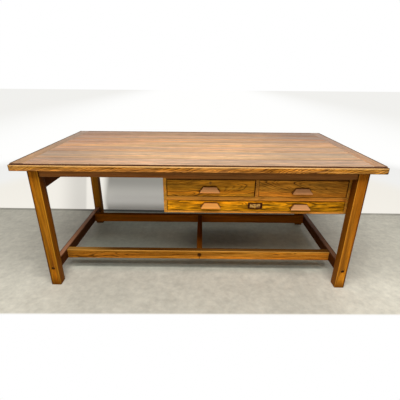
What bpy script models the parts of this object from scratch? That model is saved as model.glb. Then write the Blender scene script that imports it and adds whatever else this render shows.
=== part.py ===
"""A long oak drafting table: a planked top on four square legs joined by aprons and a low
stretcher frame, with a case of three drawers hung under its right half.

Metres, +Z up, +X to the right and -Y towards the person who sits at it. The origin is on the
floor, at the centre of the table's outline. Each drawer slides along -Y, and the lock in the
upper left drawer turns about Y.
"""

import math

import bmesh
import bpy
from mathutils import Matrix, Vector

# Top
TOP_LENGTH = 2.134
TOP_DEPTH = 1.067
TABLE_HEIGHT = 0.871
SLAB_THICKNESS = 0.044
BOARD_COUNT = 7
BOARD_LINE_WIDTH = 0.0008
BOARD_LINE_DEPTH = 0.0010
BREADBOARD_WIDTH = 0.076
STRIP_THICKNESS = 0.010
STRIP_HEIGHT = 0.035
EDGE_CHAMFER = 0.0012

# Legs and aprons
LEG_WIDTH = 0.064
LEG_INSET_X = 0.066
LEG_INSET_Y = 0.035
LEG_CHAMFER = 0.0018
FRONT_APRON_HEIGHT = 0.050
FRONT_APRON_THICKNESS = 0.022
FRONT_APRON_SETBACK = 0.009
SIDE_APRON_HEIGHT = 0.1425

# Rails of the stretcher frame; the side aprons are of the same stock
RAIL_THICKNESS = 0.040
STRETCHER_HEIGHT = 0.069
STRETCHER_FLOOR_CLEARANCE = 0.098
LONG_STRETCHER_INSET = 0.183
CROSS_STRETCHER_SHIFT = 0.010
TENON_LENGTH = 0.026
TENON_SHOULDER = 0.008
TENON_THICKNESS_SHARE = 0.4

# Bolts of the frame, with their heads sunk in counterbores
BOLT_SHANK_RADIUS = 0.004
BOLT_LENGTH = 0.110
BOLT_HEAD_RADIUS = 0.0105
BOLT_HEAD_HEIGHT = 0.006
BOLT_HEAD_DOME = 0.0012
COUNTERBORE_DEPTH = 0.009
BOLT_STEPS = 20

# Drawer case
CASE_WIDTH = 1.165
CASE_SETBACK = 0.0717
CASE_REAR_CLEARANCE = 0.0613
CASE_SIDE = 0.020
CASE_DIVIDER = 0.020
CASE_BACK = 0.008
CASE_BOTTOM = 0.012
HEADER_HEIGHT = 0.0775
MID_RAIL_HEIGHT = 0.024
CASE_RAIL_THICKNESS = 0.022
RUNNER_WIDTH = 0.020
KICKER_HEIGHT = 0.020
STOP_RAIL_THICKNESS = 0.022

# Drawers
UPPER_FRONT_HEIGHT = 0.110
LOWER_FRONT_HEIGHT = 0.071
FRONT_THICKNESS = 0.022
FRONT_GAP = 0.002
DRAWER_REAR_SPACE = 0.0317
DRAWER_TRAVEL = 0.500
DRAWER_SIDE = 0.012
DRAWER_SIDE_DROP = 0.006
FRONT_RABBET = 0.014
DRAWER_PANEL = 0.006
PANEL_HEIGHT = 0.008
PANEL_GROOVE = 0.005
STOP_TAB_WIDTH = 0.060
STOP_TAB_HEIGHT = 0.014

# Hooded wooden pulls, fitted by hand: most sit a little left of the middle, the right ones lower
PULL_LIP_WIDTH = 0.123
PULL_TOP_WIDTH = 0.081
PULL_HEIGHT = 0.035
PULL_DEPTH = 0.022
PULL_TOP_DEPTH = 0.007
PULL_LIP_HEIGHT = 0.008
PULL_BEVEL = 0.0012
SCOOP_WIDTH = 0.092
SCOOP_RADIUS = 0.014
SCOOP_WALL = 0.0045
SCOOP_STEPS = 28
UPPER_PULL_DROP = 0.046
LOWER_PULL_DROP = 0.0145
RIGHT_PULL_SAG = 0.005
PULL_SHIFT = 0.007

# Card holder on the lower drawer
CARD_HOLDER_WIDTH = 0.091
CARD_HOLDER_HEIGHT = 0.041
CARD_HOLDER_THICKNESS = 0.0025
CARD_WINDOW_WIDTH = 0.066
CARD_WINDOW_HEIGHT = 0.025
CARD_HOLDER_BEVEL = 0.0005
CARD_HOLDER_DROP = 0.033
CARD_HOLDER_SHIFT = 0.0055
HOLDER_SCREW_RADIUS = 0.0016
HOLDER_SCREW_HEAD_RADIUS = 0.0034
HOLDER_SCREW_HEAD = 0.0012
HOLDER_SCREW_LENGTH = 0.012
HOLDER_SCREW_STEPS = 16

# Lock in the upper left drawer
LOCK_DROP = 0.0223
LOCK_SHIFT = 0.004
LOCK_BARREL_RADIUS = 0.0085
LOCK_RIM_RADIUS = 0.0100
LOCK_RIM = 0.0012
LOCK_PLUG_RADIUS = 0.0055
LOCK_KEYWAY_WIDTH = 0.0014
LOCK_KEYWAY_HEIGHT = 0.0070
LOCK_KEYWAY_DEPTH = 0.010
LOCK_CAM_LENGTH = 0.032
LOCK_CAM_WIDTH = 0.010
LOCK_CAM_THICKNESS = 0.0022
LOCK_STEPS = 32

# Fits
CONTACT_GAP = 0.0003
CUT_OVERRUN = 0.003
MERGE_DISTANCE = 0.00005

# Places that follow from the sizes
SLAB_BOTTOM = TABLE_HEIGHT - SLAB_THICKNESS
LEG_X = TOP_LENGTH / 2 - LEG_INSET_X - LEG_WIDTH / 2
LEG_Y = TOP_DEPTH / 2 - LEG_INSET_Y - LEG_WIDTH / 2
LEG_TOP = SLAB_BOTTOM - CONTACT_GAP
STRETCHER_BOTTOM = STRETCHER_FLOOR_CLEARANCE
STRETCHER_TOP = STRETCHER_BOTTOM + STRETCHER_HEIGHT
STRETCHER_MIDDLE = STRETCHER_BOTTOM + STRETCHER_HEIGHT / 2
LONG_STRETCHER_Y = LEG_Y + LEG_WIDTH / 2 - LONG_STRETCHER_INSET - RAIL_THICKNESS / 2

CASE_RIGHT = LEG_X - RAIL_THICKNESS / 2 - CONTACT_GAP
CASE_LEFT = CASE_RIGHT - CASE_WIDTH
CASE_FRONT = -LEG_Y - LEG_WIDTH / 2 + CASE_SETBACK
CASE_REAR = LEG_Y - LEG_WIDTH / 2 - CASE_REAR_CLEARANCE
CASE_INNER_REAR = CASE_REAR - CASE_BACK - CONTACT_GAP
CASE_TOP = SLAB_BOTTOM - CONTACT_GAP
HEADER_BOTTOM = SLAB_BOTTOM - HEADER_HEIGHT
UPPER_FRONT_TOP = HEADER_BOTTOM - FRONT_GAP
UPPER_FRONT_BOTTOM = UPPER_FRONT_TOP - UPPER_FRONT_HEIGHT
MID_RAIL_TOP = UPPER_FRONT_BOTTOM - FRONT_GAP
MID_RAIL_BOTTOM = MID_RAIL_TOP - MID_RAIL_HEIGHT
LOWER_FRONT_TOP = MID_RAIL_BOTTOM - FRONT_GAP
LOWER_FRONT_BOTTOM = LOWER_FRONT_TOP - LOWER_FRONT_HEIGHT
CASE_FLOOR = LOWER_FRONT_BOTTOM - FRONT_GAP
CASE_UNDERSIDE = CASE_FLOOR - CASE_BOTTOM
BAY_LEFT = CASE_LEFT + CASE_SIDE
BAY_RIGHT = CASE_RIGHT - CASE_SIDE
DIVIDER_LEFT = (BAY_LEFT + BAY_RIGHT - CASE_DIVIDER) / 2
DIVIDER_RIGHT = DIVIDER_LEFT + CASE_DIVIDER
LEFT_BAY_MIDDLE = (BAY_LEFT + DIVIDER_LEFT) / 2
RIGHT_BAY_MIDDLE = (DIVIDER_RIGHT + BAY_RIGHT) / 2
CASE_RAIL_BACK = CASE_FRONT + CASE_RAIL_THICKNESS
FRONT_BACK = CASE_FRONT + FRONT_THICKNESS
DRAWER_REAR = CASE_INNER_REAR - DRAWER_REAR_SPACE
STOP_RAIL_REAR = DRAWER_REAR - DRAWER_SIDE - DRAWER_TRAVEL - CONTACT_GAP
UPPER_SIDE_TOP = UPPER_FRONT_TOP - DRAWER_SIDE_DROP
LOWER_SIDE_TOP = LOWER_FRONT_TOP - DRAWER_SIDE_DROP

# Colours
OAK_TOP = (0.33, 0.15, 0.065)
OAK_EDGE = (0.46, 0.20, 0.055)
OAK_FRAME = (0.35, 0.135, 0.035)
OAK_DARK = (0.10, 0.035, 0.014)
OAK_FRONT = (0.29, 0.115, 0.035)
OAK_PULL = (0.46, 0.20, 0.09)
OAK_CASE = (0.40, 0.20, 0.07)
OAK_BOX = (0.48, 0.29, 0.13)
DARK_BRASS = (0.075, 0.05, 0.03)
DARK_STEEL = (0.03, 0.027, 0.025)

for stale in list(bpy.data.objects):
    bpy.data.objects.remove(stale, do_unlink=True)

parts = bpy.data.collections.new("drafting_table")
cutters = bpy.data.collections.new("cutters")
bpy.context.scene.collection.children.link(parts)
bpy.context.scene.collection.children.link(cutters)


def surface(name, colour, roughness=0.45, metallic=0.0):
    """A material of its own for one piece."""
    material = bpy.data.materials.new(name)
    material.use_nodes = True
    shader = material.node_tree.nodes["Principled BSDF"]
    shader.inputs["Base Color"].default_value = (*colour, 1.0)
    shader.inputs["Roughness"].default_value = roughness
    shader.inputs["Metallic"].default_value = metallic
    return material


def adopt(obj, collection, carrier=None):
    """Moves a new object into its collection and hangs it on the empty that carries it."""
    for owner in list(obj.users_collection):
        owner.objects.unlink(obj)
    collection.objects.link(obj)
    if carrier is not None:
        obj.location = obj.location - carrier.location
        obj.parent = carrier
    return obj


def finish(obj, name, colour, roughness=0.45, metallic=0.0):
    obj.name = name
    obj.data.name = name
    obj.data.materials.clear()
    obj.data.materials.append(surface(name, colour, roughness, metallic))
    return obj


def carrier_at(name, place):
    """The empty on a joint's axis that its moving pieces hang on."""
    empty = bpy.data.objects.new(name, None)
    empty.empty_display_size = PULL_HEIGHT
    empty.location = place
    parts.objects.link(empty)
    return empty


def block(name, low, high):
    """A plain box between two corners, with its origin at its centre."""
    bpy.ops.mesh.primitive_cube_add(size=1)
    obj = bpy.context.object
    obj.name = name
    size = Vector(high) - Vector(low)
    obj.data.transform(Matrix.Diagonal((*size, 1.0)))
    obj.location = (Vector(low) + Vector(high)) / 2
    return obj


def chamfer(obj, width, segments=1):
    bevel = obj.modifiers.new("edges", "BEVEL")
    bevel.width = width
    bevel.segments = segments
    bevel.limit_method = "ANGLE"


def boolean(obj, tool, operation="DIFFERENCE"):
    """Cuts or joins obj with a tool, which is kept among the cutters."""
    step = obj.modifiers.new(tool.name, "BOOLEAN")
    step.operation = operation
    step.object = tool
    step.solver = "EXACT"
    return obj


def as_cutter(obj, name, carrier=None):
    obj.name = name
    obj.hide_render = True
    obj.display_type = "WIRE"
    return adopt(obj, cutters, carrier)


def grown(low, high, by):
    """The same box with a clearance on every side."""
    margin = Vector((by, by, by))
    return Vector(low) - margin, Vector(high) + margin


def cut_block(obj, name, low, high, carrier=None):
    boolean(obj, as_cutter(block(name, low, high), name, carrier))


def join_block(obj, name, low, high, carrier=None):
    boolean(obj, as_cutter(block(name, low, high), name, carrier), "UNION")


def board(name, low, high, colour, width=EDGE_CHAMFER, carrier=None, roughness=0.45):
    """A sawn piece with lightly broken edges."""
    obj = block(name, low, high)
    finish(obj, name, colour, roughness)
    if width:
        chamfer(obj, width)
    return adopt(obj, parts, carrier)


def turned(name, profile, steps, axis, place):
    """A turned piece: its profile runs down the outer side, and +Z turns to the given axis."""
    mesh = bpy.data.meshes.new(name)
    points = [(radius, 0, height) for radius, height in profile]
    mesh.from_pydata(points, [(i, i + 1) for i in range(len(points) - 1)], [])
    obj = bpy.data.objects.new(name, mesh)
    bpy.context.scene.collection.objects.link(obj)
    lathe = obj.modifiers.new("lathe", "SCREW")
    lathe.steps = steps
    lathe.render_steps = steps
    lathe.use_merge_vertices = True
    lathe.merge_threshold = MERGE_DISTANCE
    lathe.use_smooth_shade = False
    obj.rotation_euler = Vector((0, 0, 1)).rotation_difference(Vector(axis)).to_euler()
    obj.location = place
    return obj


def as_mesh(obj, name):
    """The evaluated mesh in world space, as a plain object at the origin."""
    bpy.context.view_layer.update()
    seen = obj.evaluated_get(bpy.context.evaluated_depsgraph_get())
    mesh = bpy.data.meshes.new_from_object(seen)
    mesh.transform(obj.matrix_world)
    plain = bpy.data.objects.new(name, mesh)
    bpy.context.scene.collection.objects.link(plain)
    bpy.data.objects.remove(obj, do_unlink=True)
    return plain


def smooth_round(obj, limit=math.radians(35)):
    """Shades a round piece smooth up to its sharp edges."""
    obj.data.shade_smooth()
    obj.data.set_sharp_from_angle(angle=limit)
    return obj


def make_top():
    """A glued-up panel of boards, a breadboard end on each side and a strip along each edge."""
    inner_end = TOP_LENGTH / 2 - BREADBOARD_WIDTH
    panel_end = inner_end - CONTACT_GAP
    panel = board(
        "top_panel",
        (-panel_end, -TOP_DEPTH / 2, SLAB_BOTTOM),
        (panel_end, TOP_DEPTH / 2, TABLE_HEIGHT),
        OAK_TOP,
        width=0,
        roughness=0.3,
    )
    for index in range(1, BOARD_COUNT):
        line = TOP_DEPTH * (index / BOARD_COUNT - 1 / 2)
        cut_block(
            panel,
            f"board_line_{index}",
            (-TOP_LENGTH / 2, line - BOARD_LINE_WIDTH / 2, TABLE_HEIGHT - BOARD_LINE_DEPTH),
            (TOP_LENGTH / 2, line + BOARD_LINE_WIDTH / 2, TABLE_HEIGHT + CUT_OVERRUN),
        )
    for side, inner, outer in (
        ("left", -inner_end, -TOP_LENGTH / 2),
        ("right", inner_end, TOP_LENGTH / 2),
    ):
        board(
            f"breadboard_end_{side}",
            (min(inner, outer), -TOP_DEPTH / 2, SLAB_BOTTOM),
            (max(inner, outer), TOP_DEPTH / 2, TABLE_HEIGHT),
            OAK_TOP,
            width=0,
            roughness=0.3,
        )

    strip_top = SLAB_BOTTOM + STRIP_HEIGHT
    near = TOP_DEPTH / 2 + CONTACT_GAP
    far = near + STRIP_THICKNESS
    end = TOP_LENGTH / 2 + CONTACT_GAP + STRIP_THICKNESS
    for side, front, back in (("front", -far, -near), ("back", near, far)):
        board(
            f"edge_strip_{side}",
            (-end, front, SLAB_BOTTOM),
            (end, back, strip_top),
            OAK_EDGE,
        )
    for side, left, right in (
        ("left", -end, -end + STRIP_THICKNESS),
        ("right", end - STRIP_THICKNESS, end),
    ):
        board(
            f"edge_strip_{side}",
            (left, -near + CONTACT_GAP, SLAB_BOTTOM),
            (right, near - CONTACT_GAP, strip_top),
            OAK_EDGE,
        )


def make_legs():
    legs = {}
    for depth_name, depth_side in (("front", -1), ("back", 1)):
        for width_name, width_side in (("left", -1), ("right", 1)):
            x = width_side * LEG_X
            y = depth_side * LEG_Y
            name = f"leg_{depth_name}_{width_name}"
            legs[width_side, depth_side] = board(
                name,
                (x - LEG_WIDTH / 2, y - LEG_WIDTH / 2, 0),
                (x + LEG_WIDTH / 2, y + LEG_WIDTH / 2, LEG_TOP),
                OAK_FRAME,
                LEG_CHAMFER,
            )
    return legs


def tenons(rail, low, high, along, ends):
    """Gives a rail a tenon at each end and cuts its mortise in the piece at that end."""
    across = 1 - along
    thickness = (high[across] - low[across]) * TENON_THICKNESS_SHARE
    middle = (low[across] + high[across]) / 2
    for sign, carrier in ends:
        shoulder = high[along] if sign > 0 else low[along]
        tip = shoulder + sign * TENON_LENGTH
        root = shoulder - sign * TENON_LENGTH
        tenon_low = [0, 0, low[2] + TENON_SHOULDER]
        tenon_high = [0, 0, high[2] - TENON_SHOULDER]
        tenon_low[across] = middle - thickness / 2
        tenon_high[across] = middle + thickness / 2
        tenon_low[along] = min(tip, root)
        tenon_high[along] = max(tip, root)
        join_block(rail, f"{rail.name}_tenon_{sign}", tenon_low, tenon_high)
        mortise_low, mortise_high = grown(tenon_low, tenon_high, CONTACT_GAP)
        cut_block(carrier, f"{rail.name}_mortise_{sign}", mortise_low, mortise_high)


def make_aprons(legs):
    between_legs = LEG_X - LEG_WIDTH / 2 - CONTACT_GAP
    outer = LEG_Y + LEG_WIDTH / 2 - FRONT_APRON_SETBACK
    inner = outer - FRONT_APRON_THICKNESS
    bottom = SLAB_BOTTOM - FRONT_APRON_HEIGHT
    for name, side in (("front", -1), ("back", 1)):
        low = (-between_legs, min(side * outer, side * inner), bottom)
        high = (between_legs, max(side * outer, side * inner), LEG_TOP)
        rail = board(f"apron_{name}", low, high, OAK_DARK)
        tenons(rail, low, high, 0, ((-1, legs[-1, side]), (1, legs[1, side])))

    between_legs = LEG_Y - LEG_WIDTH / 2 - CONTACT_GAP
    bottom = SLAB_BOTTOM - SIDE_APRON_HEIGHT
    for name, side in (("left", -1), ("right", 1)):
        low = (side * LEG_X - RAIL_THICKNESS / 2, -between_legs, bottom)
        high = (side * LEG_X + RAIL_THICKNESS / 2, between_legs, LEG_TOP)
        rail = board(f"apron_{name}", low, high, OAK_DARK)
        tenons(rail, low, high, 1, ((-1, legs[side, -1]), (1, legs[side, 1])))


def bolt_profile(clearance=0.0, overrun=0.0):
    """A bolt along +Z with its head's seat at zero; its hole is the same with a clearance."""
    head = BOLT_HEAD_HEIGHT + clearance + overrun
    rim = BOLT_HEAD_RADIUS + clearance
    shank = BOLT_SHANK_RADIUS + clearance
    dome = 0.0 if overrun else BOLT_HEAD_DOME
    return [
        (0, head),
        (rim - dome, head),
        (rim, head - dome),
        (rim, -clearance),
        (shank, -clearance),
        (shank, -BOLT_LENGTH - clearance),
        (0, -BOLT_LENGTH - clearance),
    ]


def make_bolt(name, place, side, carriers):
    """A bolt along Y with its head sunk in the face at place, and its hole in each carrier."""
    axis = (0, side, 0)
    seat = Vector(place) - Vector(axis) * COUNTERBORE_DEPTH
    bolt = turned(name, bolt_profile(), BOLT_STEPS, axis, seat)
    bolt = finish(as_mesh(bolt, name), name, DARK_STEEL, 0.4, 0.9)
    adopt(smooth_round(bolt), parts)
    profile = bolt_profile(CONTACT_GAP, COUNTERBORE_DEPTH)
    hole = as_cutter(turned(f"{name}_hole", profile, BOLT_STEPS, axis, seat), f"{name}_hole")
    for carrier in carriers:
        boolean(carrier, hole)


def make_stretchers(legs):
    """Two rails between the legs, two long rails between those and one cross rail, with bolts."""
    low_z, high_z = STRETCHER_BOTTOM, STRETCHER_TOP
    half = RAIL_THICKNESS / 2
    reach = LEG_Y - LEG_WIDTH / 2 - CONTACT_GAP
    sides = {}
    for name, side in (("left", -1), ("right", 1)):
        low = (side * LEG_X - half, -reach, low_z)
        high = (side * LEG_X + half, reach, high_z)
        rail = board(f"side_stretcher_{name}", low, high, OAK_FRAME)
        tenons(rail, low, high, 1, ((-1, legs[side, -1]), (1, legs[side, 1])))
        sides[side] = rail

    reach = LEG_X - half - CONTACT_GAP
    longs = {}
    for name, side in (("front", -1), ("back", 1)):
        middle = side * LONG_STRETCHER_Y
        low = (-reach, middle - half, low_z)
        high = (reach, middle + half, high_z)
        rail = board(f"long_stretcher_{name}", low, high, OAK_FRAME)
        tenons(rail, low, high, 0, ((-1, sides[-1]), (1, sides[1])))
        longs[side] = rail

    reach = LONG_STRETCHER_Y - half - CONTACT_GAP
    low = (CROSS_STRETCHER_SHIFT - half, -reach, low_z)
    high = (CROSS_STRETCHER_SHIFT + half, reach, high_z)
    cross = board("cross_stretcher", low, high, OAK_FRAME)

    for name, side in (("front", -1), ("back", 1)):
        face = side * (LEG_Y + LEG_WIDTH / 2)
        for width_name, width_side in (("left", -1), ("right", 1)):
            place = (width_side * LEG_X, face, STRETCHER_MIDDLE)
            joined = (legs[width_side, side], sides[width_side])
            make_bolt(f"leg_bolt_{name}_{width_name}", place, side, joined)
        place = (CROSS_STRETCHER_SHIFT, side * (LONG_STRETCHER_Y + half), STRETCHER_MIDDLE)
        make_bolt(f"cross_bolt_{name}", place, side, (longs[side], cross))


def make_case():
    """The open-topped case that holds the drawers, hung from the underside of the top."""
    for name, left, right in (
        ("left", CASE_LEFT, BAY_LEFT),
        ("right", BAY_RIGHT, CASE_RIGHT),
    ):
        board(
            f"case_side_{name}",
            (left, CASE_FRONT, CASE_UNDERSIDE),
            (right, CASE_REAR, CASE_TOP),
            OAK_CASE,
        )

    left = BAY_LEFT + CONTACT_GAP
    right = BAY_RIGHT - CONTACT_GAP
    board(
        "case_back",
        (left, CASE_REAR - CASE_BACK, CASE_UNDERSIDE),
        (right, CASE_REAR, CASE_TOP),
        OAK_BOX,
    )
    board(
        "case_bottom",
        (left, CASE_FRONT, CASE_UNDERSIDE),
        (right, CASE_INNER_REAR, CASE_FLOOR),
        OAK_CASE,
    )
    header_box = ((left, CASE_FRONT, HEADER_BOTTOM), (right, CASE_RAIL_BACK, CASE_TOP))
    board("case_header", *header_box, OAK_DARK)

    divider = board(
        "case_divider",
        (DIVIDER_LEFT, CASE_FRONT, MID_RAIL_TOP + CONTACT_GAP),
        (DIVIDER_RIGHT, CASE_INNER_REAR, CASE_TOP),
        OAK_CASE,
    )
    notch_low, notch_high = grown(*header_box, CONTACT_GAP)
    notch_low.y -= CUT_OVERRUN
    notch_high.z += CUT_OVERRUN
    cut_block(divider, "header_notch", notch_low, notch_high)

    web_bottom = LOWER_SIDE_TOP + CONTACT_GAP
    stop_front = STOP_RAIL_REAR - STOP_RAIL_THICKNESS
    runner_left = left + RUNNER_WIDTH
    runner_right = right - RUNNER_WIDTH
    centre_left = DIVIDER_LEFT - RUNNER_WIDTH
    centre_right = DIVIDER_RIGHT + RUNNER_WIDTH
    rear = CASE_INNER_REAR + CUT_OVERRUN
    low_z = web_bottom - CUT_OVERRUN
    high_z = MID_RAIL_TOP + CUT_OVERRUN
    web = board(
        "case_web_frame",
        (left, CASE_FRONT, web_bottom),
        (right, CASE_INNER_REAR, MID_RAIL_TOP),
        OAK_FRONT,
        0,
    )
    for name, low, high in (
        (
            "rail_relief",
            (left - CUT_OVERRUN, CASE_FRONT - CUT_OVERRUN, low_z),
            (right + CUT_OVERRUN, CASE_RAIL_BACK + CONTACT_GAP, MID_RAIL_BOTTOM),
        ),
        ("left_front", (runner_left, CASE_RAIL_BACK, low_z), (centre_left, stop_front, high_z)),
        ("left_rear", (runner_left, STOP_RAIL_REAR, low_z), (centre_left, rear, high_z)),
        ("right", (centre_right, CASE_RAIL_BACK, low_z), (runner_right, rear, high_z)),
        (
            "stop_relief",
            (runner_left, stop_front - CUT_OVERRUN, web_bottom + KICKER_HEIGHT),
            (centre_left, STOP_RAIL_REAR + CUT_OVERRUN, high_z),
        ),
    ):
        cut_block(web, f"web_{name}", low, high)

    for name, low_x, high_x in (
        ("left", left, DIVIDER_LEFT - CONTACT_GAP),
        ("right", DIVIDER_RIGHT + CONTACT_GAP, right),
    ):
        low_z = UPPER_SIDE_TOP + CONTACT_GAP
        high_z = low_z + KICKER_HEIGHT
        front = CASE_RAIL_BACK + CONTACT_GAP
        frame = board(
            f"case_kicker_frame_{name}",
            (low_x, front, low_z),
            (high_x, CASE_INNER_REAR, high_z),
            OAK_BOX,
            0,
        )
        inner_left = low_x + RUNNER_WIDTH
        inner_right = high_x - RUNNER_WIDTH
        cut_block(
            frame,
            f"kicker_front_{name}",
            (inner_left, front - CUT_OVERRUN, low_z - CUT_OVERRUN),
            (inner_right, stop_front, high_z + CUT_OVERRUN),
        )
        cut_block(
            frame,
            f"kicker_rear_{name}",
            (inner_left, STOP_RAIL_REAR, low_z - CUT_OVERRUN),
            (inner_right, CASE_INNER_REAR + CUT_OVERRUN, high_z + CUT_OVERRUN),
        )


def make_pull(name, middle, top, carrier):
    """A hooded wooden pull: narrow at the top, widening down to its lip, and hollowed below."""
    rear = CASE_FRONT - CONTACT_GAP
    low = (middle - PULL_LIP_WIDTH / 2, rear - PULL_DEPTH, top - PULL_HEIGHT)
    high = (middle + PULL_LIP_WIDTH / 2, rear, top)
    obj = block(name, low, high)
    lip_top = PULL_LIP_HEIGHT - PULL_HEIGHT / 2
    shape = bmesh.new()
    shape.from_mesh(obj.data)
    everything = shape.verts[:] + shape.edges[:] + shape.faces[:]
    bmesh.ops.bisect_plane(shape, geom=everything, plane_co=(0, 0, lip_top), plane_no=(0, 0, 1))
    for corner in shape.verts:
        if corner.co.z > PULL_HEIGHT / 2 - MERGE_DISTANCE:
            corner.co.x = math.copysign(PULL_TOP_WIDTH / 2, corner.co.x)
            if corner.co.y < 0:
                corner.co.y = PULL_DEPTH / 2 - PULL_TOP_DEPTH
    shape.to_mesh(obj.data)
    shape.free()
    chamfer(obj, PULL_BEVEL, 2)
    adopt(finish(obj, name, OAK_PULL), parts, carrier)

    bpy.ops.mesh.primitive_cylinder_add(
        vertices=SCOOP_STEPS, radius=SCOOP_RADIUS, depth=SCOOP_WIDTH, end_fill_type="NGON"
    )
    scoop = bpy.context.object
    scoop.data.transform(Matrix.Rotation(math.pi / 2, 4, "Y"))
    reach = PULL_DEPTH - 2 * SCOOP_WALL
    scoop.data.transform(Matrix.Diagonal((1.0, reach / (2 * SCOOP_RADIUS), 1.0, 1.0)))
    scoop.location = (middle, rear - PULL_DEPTH / 2, top - PULL_HEIGHT)
    as_cutter(scoop, f"{name}_scoop", carrier)
    boolean(obj, scoop)


def make_drawer(prefix, left, right, top, bottom, floor, side_top, tab_middle):
    """A box drawer: its front holds the sides in end rabbets, and its bottom runs in grooves."""
    carrier = carrier_at(f"{prefix}_origin", ((left + right) / 2, CASE_FRONT, floor))
    front_left = left + FRONT_GAP
    front_right = right - FRONT_GAP
    side_bottom = floor + CONTACT_GAP
    side_front = FRONT_BACK - FRONT_RABBET + CONTACT_GAP
    front = board(
        f"{prefix}_front",
        (front_left, CASE_FRONT, bottom),
        (front_right, FRONT_BACK, top),
        OAK_FRONT,
        carrier=carrier,
    )

    panel_bottom = side_bottom + PANEL_HEIGHT
    panel_top = panel_bottom + DRAWER_PANEL
    inner_left = front_left + DRAWER_SIDE
    inner_right = front_right - DRAWER_SIDE
    panel_low = (
        inner_left - PANEL_GROOVE + CONTACT_GAP,
        FRONT_BACK - PANEL_GROOVE + CONTACT_GAP,
        panel_bottom,
    )
    panel_high = (inner_right + PANEL_GROOVE - CONTACT_GAP, DRAWER_REAR, panel_top)
    groove_low, groove_high = grown(panel_low, panel_high, CONTACT_GAP)
    groove_high.y += CUT_OVERRUN
    board(f"{prefix}_bottom", panel_low, panel_high, OAK_BOX, 0, carrier)

    for side, low_x, high_x in (
        ("left", front_left, inner_left),
        ("right", inner_right, front_right),
    ):
        wall = board(
            f"{prefix}_side_{side}",
            (low_x, side_front, side_bottom),
            (high_x, DRAWER_REAR, side_top),
            OAK_BOX,
            carrier=carrier,
        )
        cut_block(wall, f"{prefix}_groove_{side}", groove_low, groove_high, carrier)
        rabbet_low, rabbet_high = grown(
            (low_x, side_front, bottom - CUT_OVERRUN),
            (high_x, FRONT_BACK + CUT_OVERRUN, top + CUT_OVERRUN),
            CONTACT_GAP,
        )
        if side == "left":
            rabbet_low.x -= CUT_OVERRUN
        else:
            rabbet_high.x += CUT_OVERRUN
        cut_block(front, f"{prefix}_rabbet_{side}", rabbet_low, rabbet_high, carrier)
    cut_block(front, f"{prefix}_groove_front", groove_low, groove_high, carrier)

    back = board(
        f"{prefix}_back",
        (inner_left + CONTACT_GAP, DRAWER_REAR - DRAWER_SIDE, panel_top + CONTACT_GAP),
        (inner_right - CONTACT_GAP, DRAWER_REAR, side_top),
        OAK_BOX,
        0,
        carrier,
    )
    join_block(
        back,
        f"{prefix}_stop_tab",
        (tab_middle - STOP_TAB_WIDTH / 2, DRAWER_REAR - DRAWER_SIDE, side_top - STOP_TAB_HEIGHT),
        (tab_middle + STOP_TAB_WIDTH / 2, DRAWER_REAR, side_top + STOP_TAB_HEIGHT),
        carrier,
    )
    return carrier, front


def make_card_holder(front, carrier):
    """A metal frame for a card, open at the middle and held by two screws."""
    middle = (BAY_LEFT + BAY_RIGHT) / 2 - CARD_HOLDER_SHIFT
    height = LOWER_FRONT_TOP - CARD_HOLDER_DROP
    rear = CASE_FRONT - CONTACT_GAP
    frame = block(
        "card_holder",
        (
            middle - CARD_HOLDER_WIDTH / 2,
            rear - CARD_HOLDER_THICKNESS,
            height - CARD_HOLDER_HEIGHT / 2,
        ),
        (middle + CARD_HOLDER_WIDTH / 2, rear, height + CARD_HOLDER_HEIGHT / 2),
    )
    chamfer(frame, CARD_HOLDER_BEVEL)
    finish(frame, "card_holder", DARK_BRASS, 0.4, 0.9)
    adopt(frame, parts, carrier)
    cut_block(
        frame,
        "card_window",
        (
            middle - CARD_WINDOW_WIDTH / 2,
            rear - CARD_HOLDER_THICKNESS - CUT_OVERRUN,
            height - CARD_WINDOW_HEIGHT / 2,
        ),
        (middle + CARD_WINDOW_WIDTH / 2, rear + CUT_OVERRUN, height + CARD_WINDOW_HEIGHT / 2),
        carrier,
    )

    ear = (CARD_HOLDER_WIDTH + CARD_WINDOW_WIDTH) / 4
    seat = rear - CARD_HOLDER_THICKNESS - CONTACT_GAP
    for side_name, side in (("left", -1), ("right", 1)):
        name = f"card_holder_screw_{side_name}"
        place = (middle + side * ear, seat, height)
        profile = [
            (0, HOLDER_SCREW_HEAD),
            (HOLDER_SCREW_HEAD_RADIUS / 2, HOLDER_SCREW_HEAD),
            (HOLDER_SCREW_HEAD_RADIUS, 0),
            (HOLDER_SCREW_RADIUS, 0),
            (HOLDER_SCREW_RADIUS, -HOLDER_SCREW_LENGTH),
            (0, -HOLDER_SCREW_LENGTH),
        ]
        screw = as_mesh(turned(name, profile, HOLDER_SCREW_STEPS, (0, -1, 0), place), name)
        finish(screw, name, DARK_BRASS, 0.4, 0.9)
        adopt(smooth_round(screw), parts, carrier)
        bore = HOLDER_SCREW_RADIUS + CONTACT_GAP
        hole_profile = [
            (0, CUT_OVERRUN),
            (bore, CUT_OVERRUN),
            (bore, -HOLDER_SCREW_LENGTH - CONTACT_GAP),
            (0, -HOLDER_SCREW_LENGTH - CONTACT_GAP),
        ]
        hole = turned(f"{name}_hole", hole_profile, HOLDER_SCREW_STEPS, (0, -1, 0), place)
        as_cutter(hole, f"{name}_hole", carrier)
        boolean(frame, hole)
        boolean(front, hole)


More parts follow.
